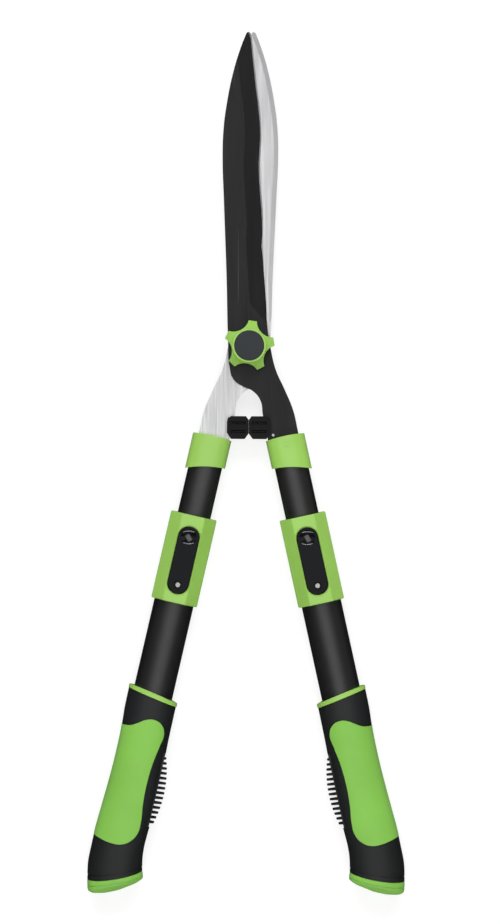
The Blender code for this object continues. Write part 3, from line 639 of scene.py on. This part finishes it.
def outer_tube():
    body = tube(OUTER_TUBE, OUTER_TUBE_SPAN)
    lock_hole = front_hole(LOCK_PIN_RADIUS + 1 * MM, LOCK_PIN_DOWN, 0, 12 * MM)
    return cut(body, lock_hole, front_hole(SCREW_RADIUS, SCREW_DOWN, -12 * MM, 0))


# ---------------------------------------------------------------- handle, lock


def housing_section():
    """The housing's faceted outline, looking down the handle, front up."""
    right = [
        (9.4 * MM, HOUSING_FRONT),
        (HOUSING_HALF_WIDTH, 9 * MM),
        (HOUSING_HALF_WIDTH, -6.5 * MM),
        (13 * MM, -MID_PLANE),
    ]
    left = [(-x, z) for x, z in reversed(right)]
    return right + left


def side_seam(side):
    """A cutter for the fine parting line on one side of the housing."""
    middle = side * HOUSING_HALF_WIDTH
    x_span = (middle - SEAM_DEPTH, middle + SEAM_DEPTH)
    return block(x_span, (-220 * MM, -135 * MM), (-SEAM_HALF_WIDTH, SEAM_HALF_WIDTH))


def window_lip(width):
    """A funnel that breaks the front edge of the housing's window by the given width."""
    low, high = HOUSING_FRONT - width, HOUSING_FRONT + width
    sections = []
    for z, grow in ((low - 1 * MM, -width), (low, 0), (high, 2 * width)):
        outline = stadium(WINDOW_SIZE[0] + 2 * grow, WINDOW_SIZE[1] + 2 * grow)
        sections.append([(x, y, z) for x, y in outline])
    return loft(sections)


def on_lever_axis(radius, half_length):
    """A round bar on the lever's pivot axis, across the handle."""
    bar = across_handle(cylinder(radius, -half_length, half_length, HOLE_SIDES))
    return at(bar, y=-WINDOW_DOWN, z=LEVER_PIN_HEIGHT)


def lock_housing():
    """The faceted sleeve on the outer tube, with its window and the seats of its pieces."""
    body = along_handle(plate([housing_section()], *HOUSING_SPAN))
    screw_seat = cylinder(5.4 * MM, -15 * MM, -10.2 * MM, HOLE_SIDES, top_radius=1.2 * MM)
    return cut(
        rounded(body, 1.0 * MM, 4),
        side_seam(-1),
        side_seam(1),
        at(window_lip(0.9 * MM), y=-WINDOW_DOWN),
        oval_bar(OUTER_TUBE[0] + FIT, OUTER_TUBE[1] + FIT, 146.2 * MM, 220 * MM),
        oval_bar(OUTER_TUBE[0] - WALL, OUTER_TUBE[1] - WALL, 135 * MM, 150 * MM),
        at(plate([stadium(*WINDOW_SIZE)], 5 * MM, 25 * MM), y=-WINDOW_DOWN),
        on_lever_axis(LEVER_PIN_RADIUS + 0.1 * MM, 11.4 * MM),
        front_hole(SCREW_RADIUS, SCREW_DOWN, -15 * MM, -5 * MM),
        at(screw_seat, y=-SCREW_DOWN),
    )


def thumb_dish():
    """The sphere that hollows out the lever's thumb dish."""
    bm = bmesh.new()
    bmesh.ops.create_uvsphere(bm, u_segments=64, v_segments=128, radius=DISH_RADIUS)
    return at(from_bmesh(bm), y=-THUMB_DOWN, z=LEVER_FACES[1] - DISH_DEPTH + DISH_RADIUS)


def lock_lever():
    """The rocker: a thumb dish at its top, a raised ring round the locking pin at its bottom."""
    low, high = LEVER_FACES
    body = plate([stadium(*LEVER_SIZE)], low, high)
    body = at(rounded(body, 0.9 * MM, 4), y=-WINDOW_DOWN)
    boss = on_lever_axis(3.0 * MM, 5.5 * MM)
    rim = at(ring(3.7 * MM, 4.5 * MM, high - 1 * MM, high + 0.25 * MM), y=-LOCK_PIN_DOWN)
    return cut(
        joined(body, boss, rim),
        thumb_dish(),
        on_lever_axis(LEVER_PIN_RADIUS + FIT, 12 * MM),
        front_hole(LOCK_PIN_RADIUS + FIT, LOCK_PIN_DOWN, 0, LOCK_PIN_SEAT),
        front_hole(3.6 * MM, LOCK_PIN_DOWN, LOCK_PIN_SEAT, 20 * MM),
        front_hole(1.0 * MM, LOCK_PIN_DOWN, 15 * MM, 20 * MM),
        front_hole(3.5 * MM, THUMB_DOWN, 0, 15.1 * MM),
    )


def lever_spring():
    """The coil under the thumb end of the lever."""
    turns, per_turn = 4, 20
    low, high = SPRING_SPAN
    curve = bpy.data.curves.new("spring", "CURVE")
    curve.dimensions = "3D"
    curve.bevel_depth = SPRING_WIRE
    curve.bevel_resolution = 2
    curve.use_fill_caps = True
    spline = curve.splines.new("POLY")
    count = turns * per_turn + 1
    spline.points.add(count - 1)
    for i, point in enumerate(spline.points):
        angle = 2 * math.pi * i / per_turn
        height = low + (high - low) * i / (count - 1)
        point.co = (SPRING_RADIUS * math.cos(angle), SPRING_RADIUS * math.sin(angle), height, 1)
    made = bpy.data.objects.new("spring", curve)
    bpy.context.scene.collection.objects.link(made)
    return at(baked(made), y=-THUMB_DOWN)


# ---------------------------------------------------------------- handle, grip

# The grip's two edges in the handle's frame, in mm: outer x, down; inner x, down. Then
# come its depth, as a share of its full depth, and how far its front and back bow down.
GRIP_STATIONS = [
    (19.9, 287.7, -20.3, 295, 1, 0),
    (19.7, 303, -20.4, 307, 1, 0),
    (19.0, 314, -20.5, 317, 1, 0),
    (18.4, 327, -20.8, 330, 1, 0),
    (18.4, 348, -21.6, 348, 1, 0),
    (19.0, 366, -21.8, 366, 1, 0),
    (20.0, 386, -21.8, 382, 1, 0),
    (20.8, 402, -21.2, 396, 1, 0),
    (20.8, 418, -20.8, 408, 1, 0),
    (20.4, 431, -21.5, 418, 1, 0.8),
    (17.8, 444.5, -23.5, 428, 1, 2.5),
]
GROOVE_STATIONS = [(19.1, 440.2, -23, 424.4, 1, 2.2), (18.9, 441.2, -23.2, 425.4, 1, 2.3)]
RING_STATIONS = [(20.2, 284.6, -20.8, 291.9, 1, -1.2), (20.2, 287.2, -20.8, 294.5, 1, 0)]
CAP_STATIONS = [
    (17.7, 444.9, -23.6, 428.4, 1, 2.5),
    (17.0, 448.2, -24.8, 431.4, 0.985, 2.2),
    (16.0, 451.6, -25.2, 433.6, 0.95, 1.2),
    (14.6, 453.6, -24.3, 435.4, 0.88, 0.4),
    (10.5, 454.3, -20.0, 439.6, 0.7, 0),
    (3.0, 452.6, -10.0, 446.6, 0.35, 0),
]
CAP_GROOVE_STATIONS = [
    (16.9, 449.0, -24.9, 431.8, 0.983, 2.0), (16.7, 449.8, -25.0, 432.3, 0.975, 1.7),
]
# The pad's edge in the handle's frame, in mm, from its top round the inner side. It runs
# out past the grip's outer edge, where the pad wraps round to the back.
PAD_OUTLINE = [
    (26, 318), (18, 317.2), (11.4, 316), (6, 312.8), (0.6, 309.3), (-5.4, 307.8), (-12, 310),
    (-16, 317), (-14.8, 328), (-12.6, 342), (-11.6, 360), (-12.2, 375), (-13.9, 390),
    (-13.4, 399), (-9, 406.4), (-2.2, 410.4), (5.1, 411), (14.2, 409.7), (26, 406.5),
]
PAD_MIDDLE = Vector((0, -360 * MM, 0))
PAD_HALF_SIZE = (16 * MM, 52 * MM)
GRIP_FRONT = 13.4 * MM
GRIP_BACK = MID_PLANE
GRIP_SIDES = 96
GRIP_POWER = 2.3


def grip_section(station, inset=0.0):
    """One oval ring of the grip, from its outer to its inner edge, drawn in by the inset."""
    *edges, share, bow = station
    outer_x, outer_down, inner_x, inner_down = (value * MM for value in edges)
    outer, inner = Vector((outer_x, -outer_down, 0)), Vector((inner_x, -inner_down, 0))
    middle, half = (outer + inner) / 2, (outer - inner) / 2
    half *= 1 - inset / half.length
    points = []
    for x, z in oval(1, 1, GRIP_POWER, GRIP_SIDES):
        depth = (GRIP_FRONT if z > 0 else GRIP_BACK) * share - inset
        points.append(middle + half * x + Vector((0, -bow * MM * z * z, z * depth)))
    return points


def grip_solid(inset=0.0):
    return loft([grip_section(row, inset) for row in between(GRIP_STATIONS, GRIP_STEPS)])


def pad_prism(grow=0.0):
    """A block through the grip with the pad's outline, grown all round."""
    points = in_mm([(x, -down) for x, down in PAD_OUTLINE])
    body = plate([(points, {0, len(points) - 1})], -20 * MM, 20 * MM)
    if not grow:
        return body
    half_x, half_y = PAD_HALF_SIZE
    scale = Matrix.Diagonal((1 + grow / half_x, 1 + grow / half_y, 1, 1))
    there, back = Matrix.Translation(PAD_MIDDLE), Matrix.Translation(-PAD_MIDDLE)
    return moved(body, there @ scale @ back)


def grip_bore():
    return oval_bar(OUTER_TUBE[0] + FIT, OUTER_TUBE[1] + FIT, 270 * MM, 470 * MM)


def fin_base(grow=0.0):
    """The strip that carries the fins, let into the inner side of the grip."""
    # The seat for it, grown, is also open towards the fingers.
    x_span = (-30 * MM if grow else FIN_ROOT, FIN_STRIP_INNER + grow)
    y_span = (-FIN_STRIP_SPAN[1] - grow, -FIN_STRIP_SPAN[0] + grow)
    half = FIN_HALF_DEPTH + grow
    return block(x_span, y_span, (-half, half))


def grip_body():
    """The black moulding over the tube, with seats for the pad and for the fins."""
    seat = cut(pad_prism(PAD_GAP), grip_solid(PAD_THICKNESS + PAD_GAP))
    body = rounded(cut(grip_solid(), seat), 0.25 * MM, 2, angle=50)
    band = loft([grip_section(row, -1 * MM) for row in GROOVE_STATIONS])
    groove = cut(band, grip_solid(0.45 * MM))
    return cut(body, groove, fin_base(FIT), grip_bore())


def grip_pad():
    """The green soft skin that wraps the outer side of the grip."""
    body = boolean(grip_solid(-0.15 * MM), pad_prism(), "INTERSECT")
    return rounded(cut(body, grip_solid(PAD_THICKNESS)), 0.35 * MM, 3, angle=50)


def fin_tip(down):
    """How far a fin stands out from the handle's axis: a shallow bulge under the fingers."""
    x, peak_down = FIN_PEAK
    return x + FIN_BULGE * (down - peak_down) ** 2


def finger_fins():
    """The comb of soft fins under the fingers, in one piece with its base strip."""
    body = rounded(fin_base(), 0.4 * MM, 2)
    half = FIN_THICKNESS / 2
    for i in range(FIN_COUNT):
        middle = FIN_START + FIN_PITCH * i
        tip = fin_tip(middle)
        fin = block((tip, -19 * MM), (-half, half), (-FIN_HALF_DEPTH, FIN_HALF_DEPTH))
        for vertex in fin.data.vertices:
            if vertex.co.x < FIN_ROOT:
                vertex.co.y *= FIN_TAPER[0]
                vertex.co.z *= FIN_TAPER[1]
        fin = rounded(fin, 0.5 * MM, 3)
        turn = Matrix.Translation((FIN_ROOT, -middle, 0)) @ Matrix.Rotation(-FIN_TILT, 4, "Z")
        body = joined(body, moved(fin, turn @ Matrix.Translation((-FIN_ROOT, 0, 0))))
    return body


def grip_ring():
    """The green collar round the mouth of the grip."""
    body = loft([grip_section(row) for row in RING_STATIONS])
    return cut(rounded(body, 1.0 * MM, 5, angle=50), grip_bore())


def cap_solid(inset=0.0):
    return loft([grip_section(row, inset) for row in between(CAP_STATIONS, GRIP_STEPS)])


def end_cap():
    """The green cap on the slanted end of the grip, with a shallow groove round it."""
    body = rounded(cap_solid(), 0.5 * MM, 3, angle=50)
    band = loft([grip_section(row, -1 * MM) for row in CAP_GROOVE_STATIONS])
    return cut(body, cut(band, cap_solid(0.35 * MM)))


# ---------------------------------------------------------------- materials


class Nodes:
    """A node tree with short ways to add and join nodes."""

    def __init__(self, name):
        self.material = bpy.data.materials.new(name)
        self.material.use_nodes = True
        self.tree = self.material.node_tree
        self.shader = self.tree.nodes["Principled BSDF"]
        self.place = self.tree.nodes.new("ShaderNodeTexCoord").outputs["Object"]

    def add(self, kind, inputs=(), **settings):
        node = self.tree.nodes.new("ShaderNode" + kind)
        for name, value in settings.items():
            setattr(node, name, value)
        for name, value in dict(inputs).items():
            self.feed(node.inputs[name], value)
        return node

    def feed(self, socket, value):
        if isinstance(value, bpy.types.NodeSocket):
            self.tree.links.new(value, socket)
        else:
            socket.default_value = value

    def noise(self, scale, detail, stretch=(1, 1, 1)):
        """Noise with the given number of cells to a metre along each axis, times stretch."""
        mapping = self.add("Mapping", {"Vector": self.place, "Scale": stretch})
        inputs = {"Vector": mapping.outputs[0], "Scale": scale, "Detail": detail}
        return self.add("TexNoise", inputs).outputs["Fac"]

    def colour(self, value):
        self.feed(self.shader.inputs["Base Color"], value)

    def roughness(self, value):
        self.feed(self.shader.inputs["Roughness"], value)

    def normal(self, value):
        self.feed(self.shader.inputs["Normal"], value)

    def specular(self, value):
        self.shader.inputs["Specular IOR Level"].default_value = value

    def span(self, value, low, high, start=0.3, end=0.7):
        """The value's range from start to end, spread from low to high."""
        limits = {"From Min": start, "From Max": end, "To Min": low, "To Max": high}
        return self.add("MapRange", {"Value": value, **limits}).outputs["Result"]

    def mix(self, factor, one, other):
        """A blend of two colours. A Mix node's inputs 6 and 7 and its output 2 are its colours."""
        made = self.add("Mix", {0: factor}, data_type="RGBA")
        self.feed(made.inputs[6], (*one, 1) if isinstance(one, tuple) else one)
        self.feed(made.inputs[7], (*other, 1) if isinstance(other, tuple) else other)
        return made.outputs[2]

    def bump(self, height, distance, strength=1.0, normal=None):
        inputs = {"Height": height, "Distance": distance, "Strength": strength}
        if normal is not None:
            inputs["Normal"] = normal
        return self.add("Bump", inputs).outputs["Normal"]


def plastic(name, colour, roughness, grain, depth, specular, shade):
    """A moulded plastic or rubber: fine grain, slight cloudiness and uneven gloss.

    Grain is its cells to a metre and depth their bump. Shade is how much darker and lighter
    than the colour the clouds are.
    """
    nodes = Nodes(name)
    dark = tuple(c * (1 - shade) for c in colour)
    light = tuple(min(1.0, c * (1 + shade)) for c in colour)
    cloud = nodes.span(nodes.noise(22, 4), 0, 1)
    nodes.colour(nodes.mix(cloud, dark, light))
    nodes.roughness(nodes.span(nodes.noise(350, 3), roughness * 0.98, roughness * 1.02))
    nodes.normal(nodes.bump(nodes.noise(grain, 2), depth))
    nodes.specular(specular)
    return nodes.material


def coated_steel():
    """A satin black non-stick coating, with the grinding marks of the steel showing through."""
    nodes = Nodes("coated_steel")
    marks = nodes.noise(900, 3, (1, 0.04, 1))
    scratches = nodes.span(nodes.noise(420, 2, (1, 0.02, 1)), 0, 1, 0.68, 0.74)
    cloud = nodes.span(nodes.noise(90, 3, (1, 0.06, 1)), 0, 1)
    coat = nodes.mix(cloud, (0.0085, 0.0085, 0.009), (0.013, 0.013, 0.0135))
    nodes.colour(nodes.mix(scratches, coat, (0.035, 0.035, 0.035)))
    nodes.roughness(nodes.span(marks, 0.34, 0.46))
    grain = nodes.bump(marks, 0.00003, 0.6)
    nodes.normal(nodes.bump(nodes.noise(2600, 2), 0.00001, 0.6, grain))
    nodes.specular(0.24)
    return nodes.material


def steel(name, colour, roughness, stretch):
    """Bare or plated steel with fine marks along one direction."""
    nodes = Nodes(name)
    marks = nodes.noise(1200, 4, stretch)
    cloud = nodes.span(nodes.noise(60, 4, stretch), 0, 1)
    dark = tuple(c * 0.86 for c in colour)
    nodes.colour(nodes.mix(cloud, dark, colour))
    nodes.shader.inputs["Metallic"].default_value = 1.0
    nodes.roughness(nodes.span(marks, roughness * 0.8, roughness * 1.25))
    nodes.normal(nodes.bump(marks, 0.00002, 0.5))
    return nodes.material


def black_tube():
    """Powder coat with a fine orange peel."""
    nodes = Nodes("black_tube")
    cloud = nodes.span(nodes.noise(30, 4, (1, 0.3, 1)), 0, 1)
    nodes.colour(nodes.mix(cloud, (0.004, 0.004, 0.0045), (0.006, 0.006, 0.0065)))
    nodes.roughness(nodes.span(nodes.noise(300, 3), 0.36, 0.4))
    nodes.normal(nodes.bump(nodes.noise(900, 2), 0.00003, 0.35))
    nodes.specular(0.85)
    return nodes.material


# Colour, roughness, grain, depth, specular and shade, as plastic() takes them.
PLASTICS = {
    "green_plastic": ((0.28, 0.52, 0.095), 0.28, 1500, 0.00001, 0.5, 0.05),
    "green_rubber": ((0.205, 0.48, 0.072), 0.45, 2200, 0.00003, 0.4, 0.06),
    "black_plastic": ((0.025, 0.028, 0.031), 0.5, 1300, 0.00001, 0.3, 0.1),
    "black_rubber": ((0.0088, 0.0094, 0.01), 0.48, 2200, 0.00003, 0.46, 0.12),
    "bumper_rubber": ((0.003, 0.003, 0.0035), 0.22, 1800, 0.00001, 0.12, 0.1),
    "gloss_black": ((0.0025, 0.003, 0.004), 0.24, 1300, 0.000003, 0.14, 0.1),
    "polished_black": ((0.0025, 0.003, 0.004), 0.14, 1300, 0.000003, 1.0, 0.1),
}
# Colour, roughness, and the stretch of the marks along each axis.
STEELS = {
    "bright_steel": ((0.74, 0.74, 0.75), 0.38, (1, 0.02, 1)),
    "ground_steel": ((0.86, 0.86, 0.87), 0.6, (1, 0.02, 1)),
    "zinc_steel": ((0.5, 0.5, 0.48), 0.34, (1, 0.6, 0.6)),
    "spring_steel": ((0.4, 0.41, 0.43), 0.3, (1, 1, 1)),
}
MATERIALS = {
    "coated_steel": coated_steel(),
    "black_tube": black_tube(),
    **{name: steel(name, *look) for name, look in STEELS.items()},
    **{name: plastic(name, *look) for name, look in PLASTICS.items()},
}


# ---------------------------------------------------------------- putting pieces on the model

BODIES = frame["record"]["behaviour"]["bodies"]
BODY_OF = {node: body for body, nodes in BODIES.items() for node in nodes}
SLOT_OF = {part["node"]: part["material_slot"] for part in frame["record"]["subparts"]}
UP = Matrix.Translation((0, 0, MID_PLANE))
RIGHT = UP @ Matrix.Translation((*handle_point(0, 0), 0)) @ Matrix.Rotation(HANDLE_ANGLE, 4, "Z")
MIRROR_X = Matrix.Diagonal((-1, 1, 1, 1))
TURN_OVER = UP @ Matrix.Diagonal((-1, 1, -1, 1)) @ Matrix.Translation((0, 0, -MID_PLANE))
SMOOTH_UNDER = 30  # degrees: sharper edges are shaded as edges
BLADE_SMOOTH_UNDER = 4  # low, so that the blades' shallow bevels stay flat


def finish_piece(piece, node, smooth_under=SMOOTH_UNDER):
    """Names a finished piece, gives it its material and lets it stand for its node."""
    piece.name = node + "_detail"
    piece.data.name = piece.name
    piece.data.materials.clear()
    piece.data.materials.append(MATERIALS[SLOT_OF[node]])
    piece.data.shade_smooth()
    piece.data.set_sharp_from_angle(angle=math.radians(smooth_under))
    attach(piece, BODY_OF[node])
    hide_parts(node)
    even = piece.modifiers.new("even_normals", "WEIGHTED_NORMAL")
    even.keep_sharp = True


def bare_the_edge(piece):
    """Shows rough ground steel on the sharpened bevel of the coated blade."""
    piece.data.materials.append(MATERIALS["ground_steel"])
    # The bevel's faces lean outwards by nearly its angle and look up.
    lean = math.sin(SHARPENED_ANGLE) * 0.8
    for face in piece.data.polygons:
        on_bevel = face.normal.x > lean and face.normal.z > 0.85
        if on_bevel and face.center.y > BEVEL_START:
            face.material_index = 1


def polish_the_dish(lever, side):
    """Gives a lever's thumb dish a brighter polish. The side is 1 on the right, -1 on the left."""
    middle = RIGHT @ Vector((0, -THUMB_DOWN, 0))
    lever.data.materials.append(MATERIALS["polished_black"])
    for face in lever.data.polygons:
        reach = math.hypot(face.center.x - side * middle.x, face.center.y - middle.y)
        sunk = face.center.z < MID_PLANE + LEVER_FACES[1] - 0.1 * MM
        if reach < DISH_REACH and sunk and face.normal.z > 0.5:
            face.material_index = 1


def press_down(spring):
    """Gives a lever's spring its own copy of its mesh."""
    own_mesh(spring)


def finish_pair(piece, name, right, over):
    """Puts a piece on the right-hand side and its copy on the left-hand one."""
    other = mesh_object(piece.data.copy())
    finish_piece(moved(piece, right), "right_" + name)
    finish_piece(moved(other, over @ right), "left_" + name)
    return piece, other


def finish_pieces():
    front = blade()
    rear = mesh_object(front.data.copy())
    finish_piece(moved(front, UP), "front_blade", BLADE_SMOOTH_UNDER)
    bare_the_edge(front)
    finish_piece(moved(rear, TURN_OVER @ UP), "rear_blade", BLADE_SMOOTH_UNDER)
    finish_piece(moved(tension_knob(), UP), "tension_knob")
    finish_piece(moved(knob_cap(), UP), "knob_cap")
    finish_pair(bumper(), "bumper", UP, TURN_OVER)
    finish_pair(ferrule(), "ferrule", RIGHT, TURN_OVER)
    right_lever, left_lever = finish_pair(lock_lever(), "lock_lever", RIGHT, MIRROR_X)
    polish_the_dish(right_lever, 1)
    polish_the_dish(left_lever, -1)
    right_spring, left_spring = finish_pair(lever_spring(), "lever_spring", RIGHT, MIRROR_X)
    press_down(right_spring)
    press_down(left_spring)
    for name, make in (
        ("inner_tube", inner_tube),
        ("outer_tube", outer_tube),
        ("lock_housing", lock_housing),
        ("grip_ring", grip_ring),
        ("grip_body", grip_body),
        ("grip_pad", grip_pad),
        ("finger_fins", finger_fins),
        ("end_cap", end_cap),
    ):
        finish_pair(make(), name, RIGHT, MIRROR_X)


def paint_nodes():
    """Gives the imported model's own pieces their materials, for those that stay in view."""
    for name, node in frame["nodes"].items():
        node.data.materials.clear()
        node.data.materials.append(MATERIALS[SLOT_OF[name]])


# ---------------------------------------------------------------- studio

LIT_POINT = Vector((0, -0.1, 0))
# Each softbox's place, size, power in watts, and whether it is mirrored. The thin strips are
# for the glints, and stand a little in front of the fills.
LIGHTS = {
    "top": ((-0.06, 0, 2.2), (1.3, 2.1), 12, True),
    "far_fill": ((0, 1.7, 1.6), (2.4, 1.2), 53, False),
    "near_fill": ((0, -1.9, 1.6), (2.4, 1.2), 26, False),
    "far_strip": ((0, 1.55, 1.5), (3.4, 0.1), 10, True),
    "near_strip": ((0, -1.75, 1.5), (3.4, 0.1), 9, True),
    "right": ((1.9, 0.2, 1.7), (1.2, 2.2), 1.6, True),
    "left": ((-1.9, 0.2, 1.7), (1.2, 2.2), 1, True),
}
CAMERA_HEIGHT = 3.0  # above the mid plane
CAMERA_PLACE = (0.0012, -0.0928)
CAMERA_ROLL = math.radians(0.35)
FRAME_HEIGHT = 0.7395  # how much of the mid plane fills the picture's height


def add_floor():
    bm = bmesh.new()
    bmesh.ops.create_grid(bm, x_segments=1, y_segments=1, size=6)
    floor = at(from_bmesh(bm, "floor"), z=-0.4 * MM)
    nodes = Nodes("floor")
    nodes.colour((0.25, 0.25, 0.25, 1))
    nodes.roughness(0.9)
    nodes.specular(0.1)
    # The floor glows, as a light table does, so that the shadows stay pale.
    nodes.shader.inputs["Emission Color"].default_value = (1, 1, 1, 1)
    nodes.shader.inputs["Emission Strength"].default_value = 0.78
    floor.data.materials.append(nodes.material)
    floor.visible_glossy = False


def add_light(name, place, size, power, mirrored):
    """A softbox that the camera can't see, nor, unless it is mirrored, any reflection."""
    light = bpy.data.lights.new(name, "AREA")
    light.shape = "RECTANGLE"
    light.size, light.size_y = size
    light.energy = power
    made = bpy.data.objects.new(name, light)
    bpy.context.scene.collection.objects.link(made)
    made.location = place
    made.rotation_euler = (LIT_POINT - Vector(place)).to_track_quat("-Z", "Y").to_euler()
    made.visible_camera = False
    made.visible_glossy = mirrored


def add_studio():
    add_floor()
    for name, softbox in LIGHTS.items():
        add_light(name, *softbox)
    world = bpy.data.worlds.new("studio")
    world.use_nodes = True
    background = world.node_tree.nodes["Background"]
    background.inputs["Color"].default_value = (1, 1, 1, 1)
    background.inputs["Strength"].default_value = 0.03
    bpy.context.scene.world = world
    bpy.context.scene.view_settings.view_transform = "Standard"


def add_camera():
    """Square on to the front, from high above, as the shears lie."""
    camera = bpy.data.cameras.new("camera")
    camera.lens = camera.sensor_width * CAMERA_HEIGHT / FRAME_HEIGHT
    made = bpy.data.objects.new("camera", camera)
    bpy.context.scene.collection.objects.link(made)
    made.location = (*CAMERA_PLACE, MID_PLANE + CAMERA_HEIGHT)
    made.rotation_euler.z = CAMERA_ROLL
    bpy.context.scene.camera = made


paint_nodes()
finish_pieces()
add_studio()
add_camera()
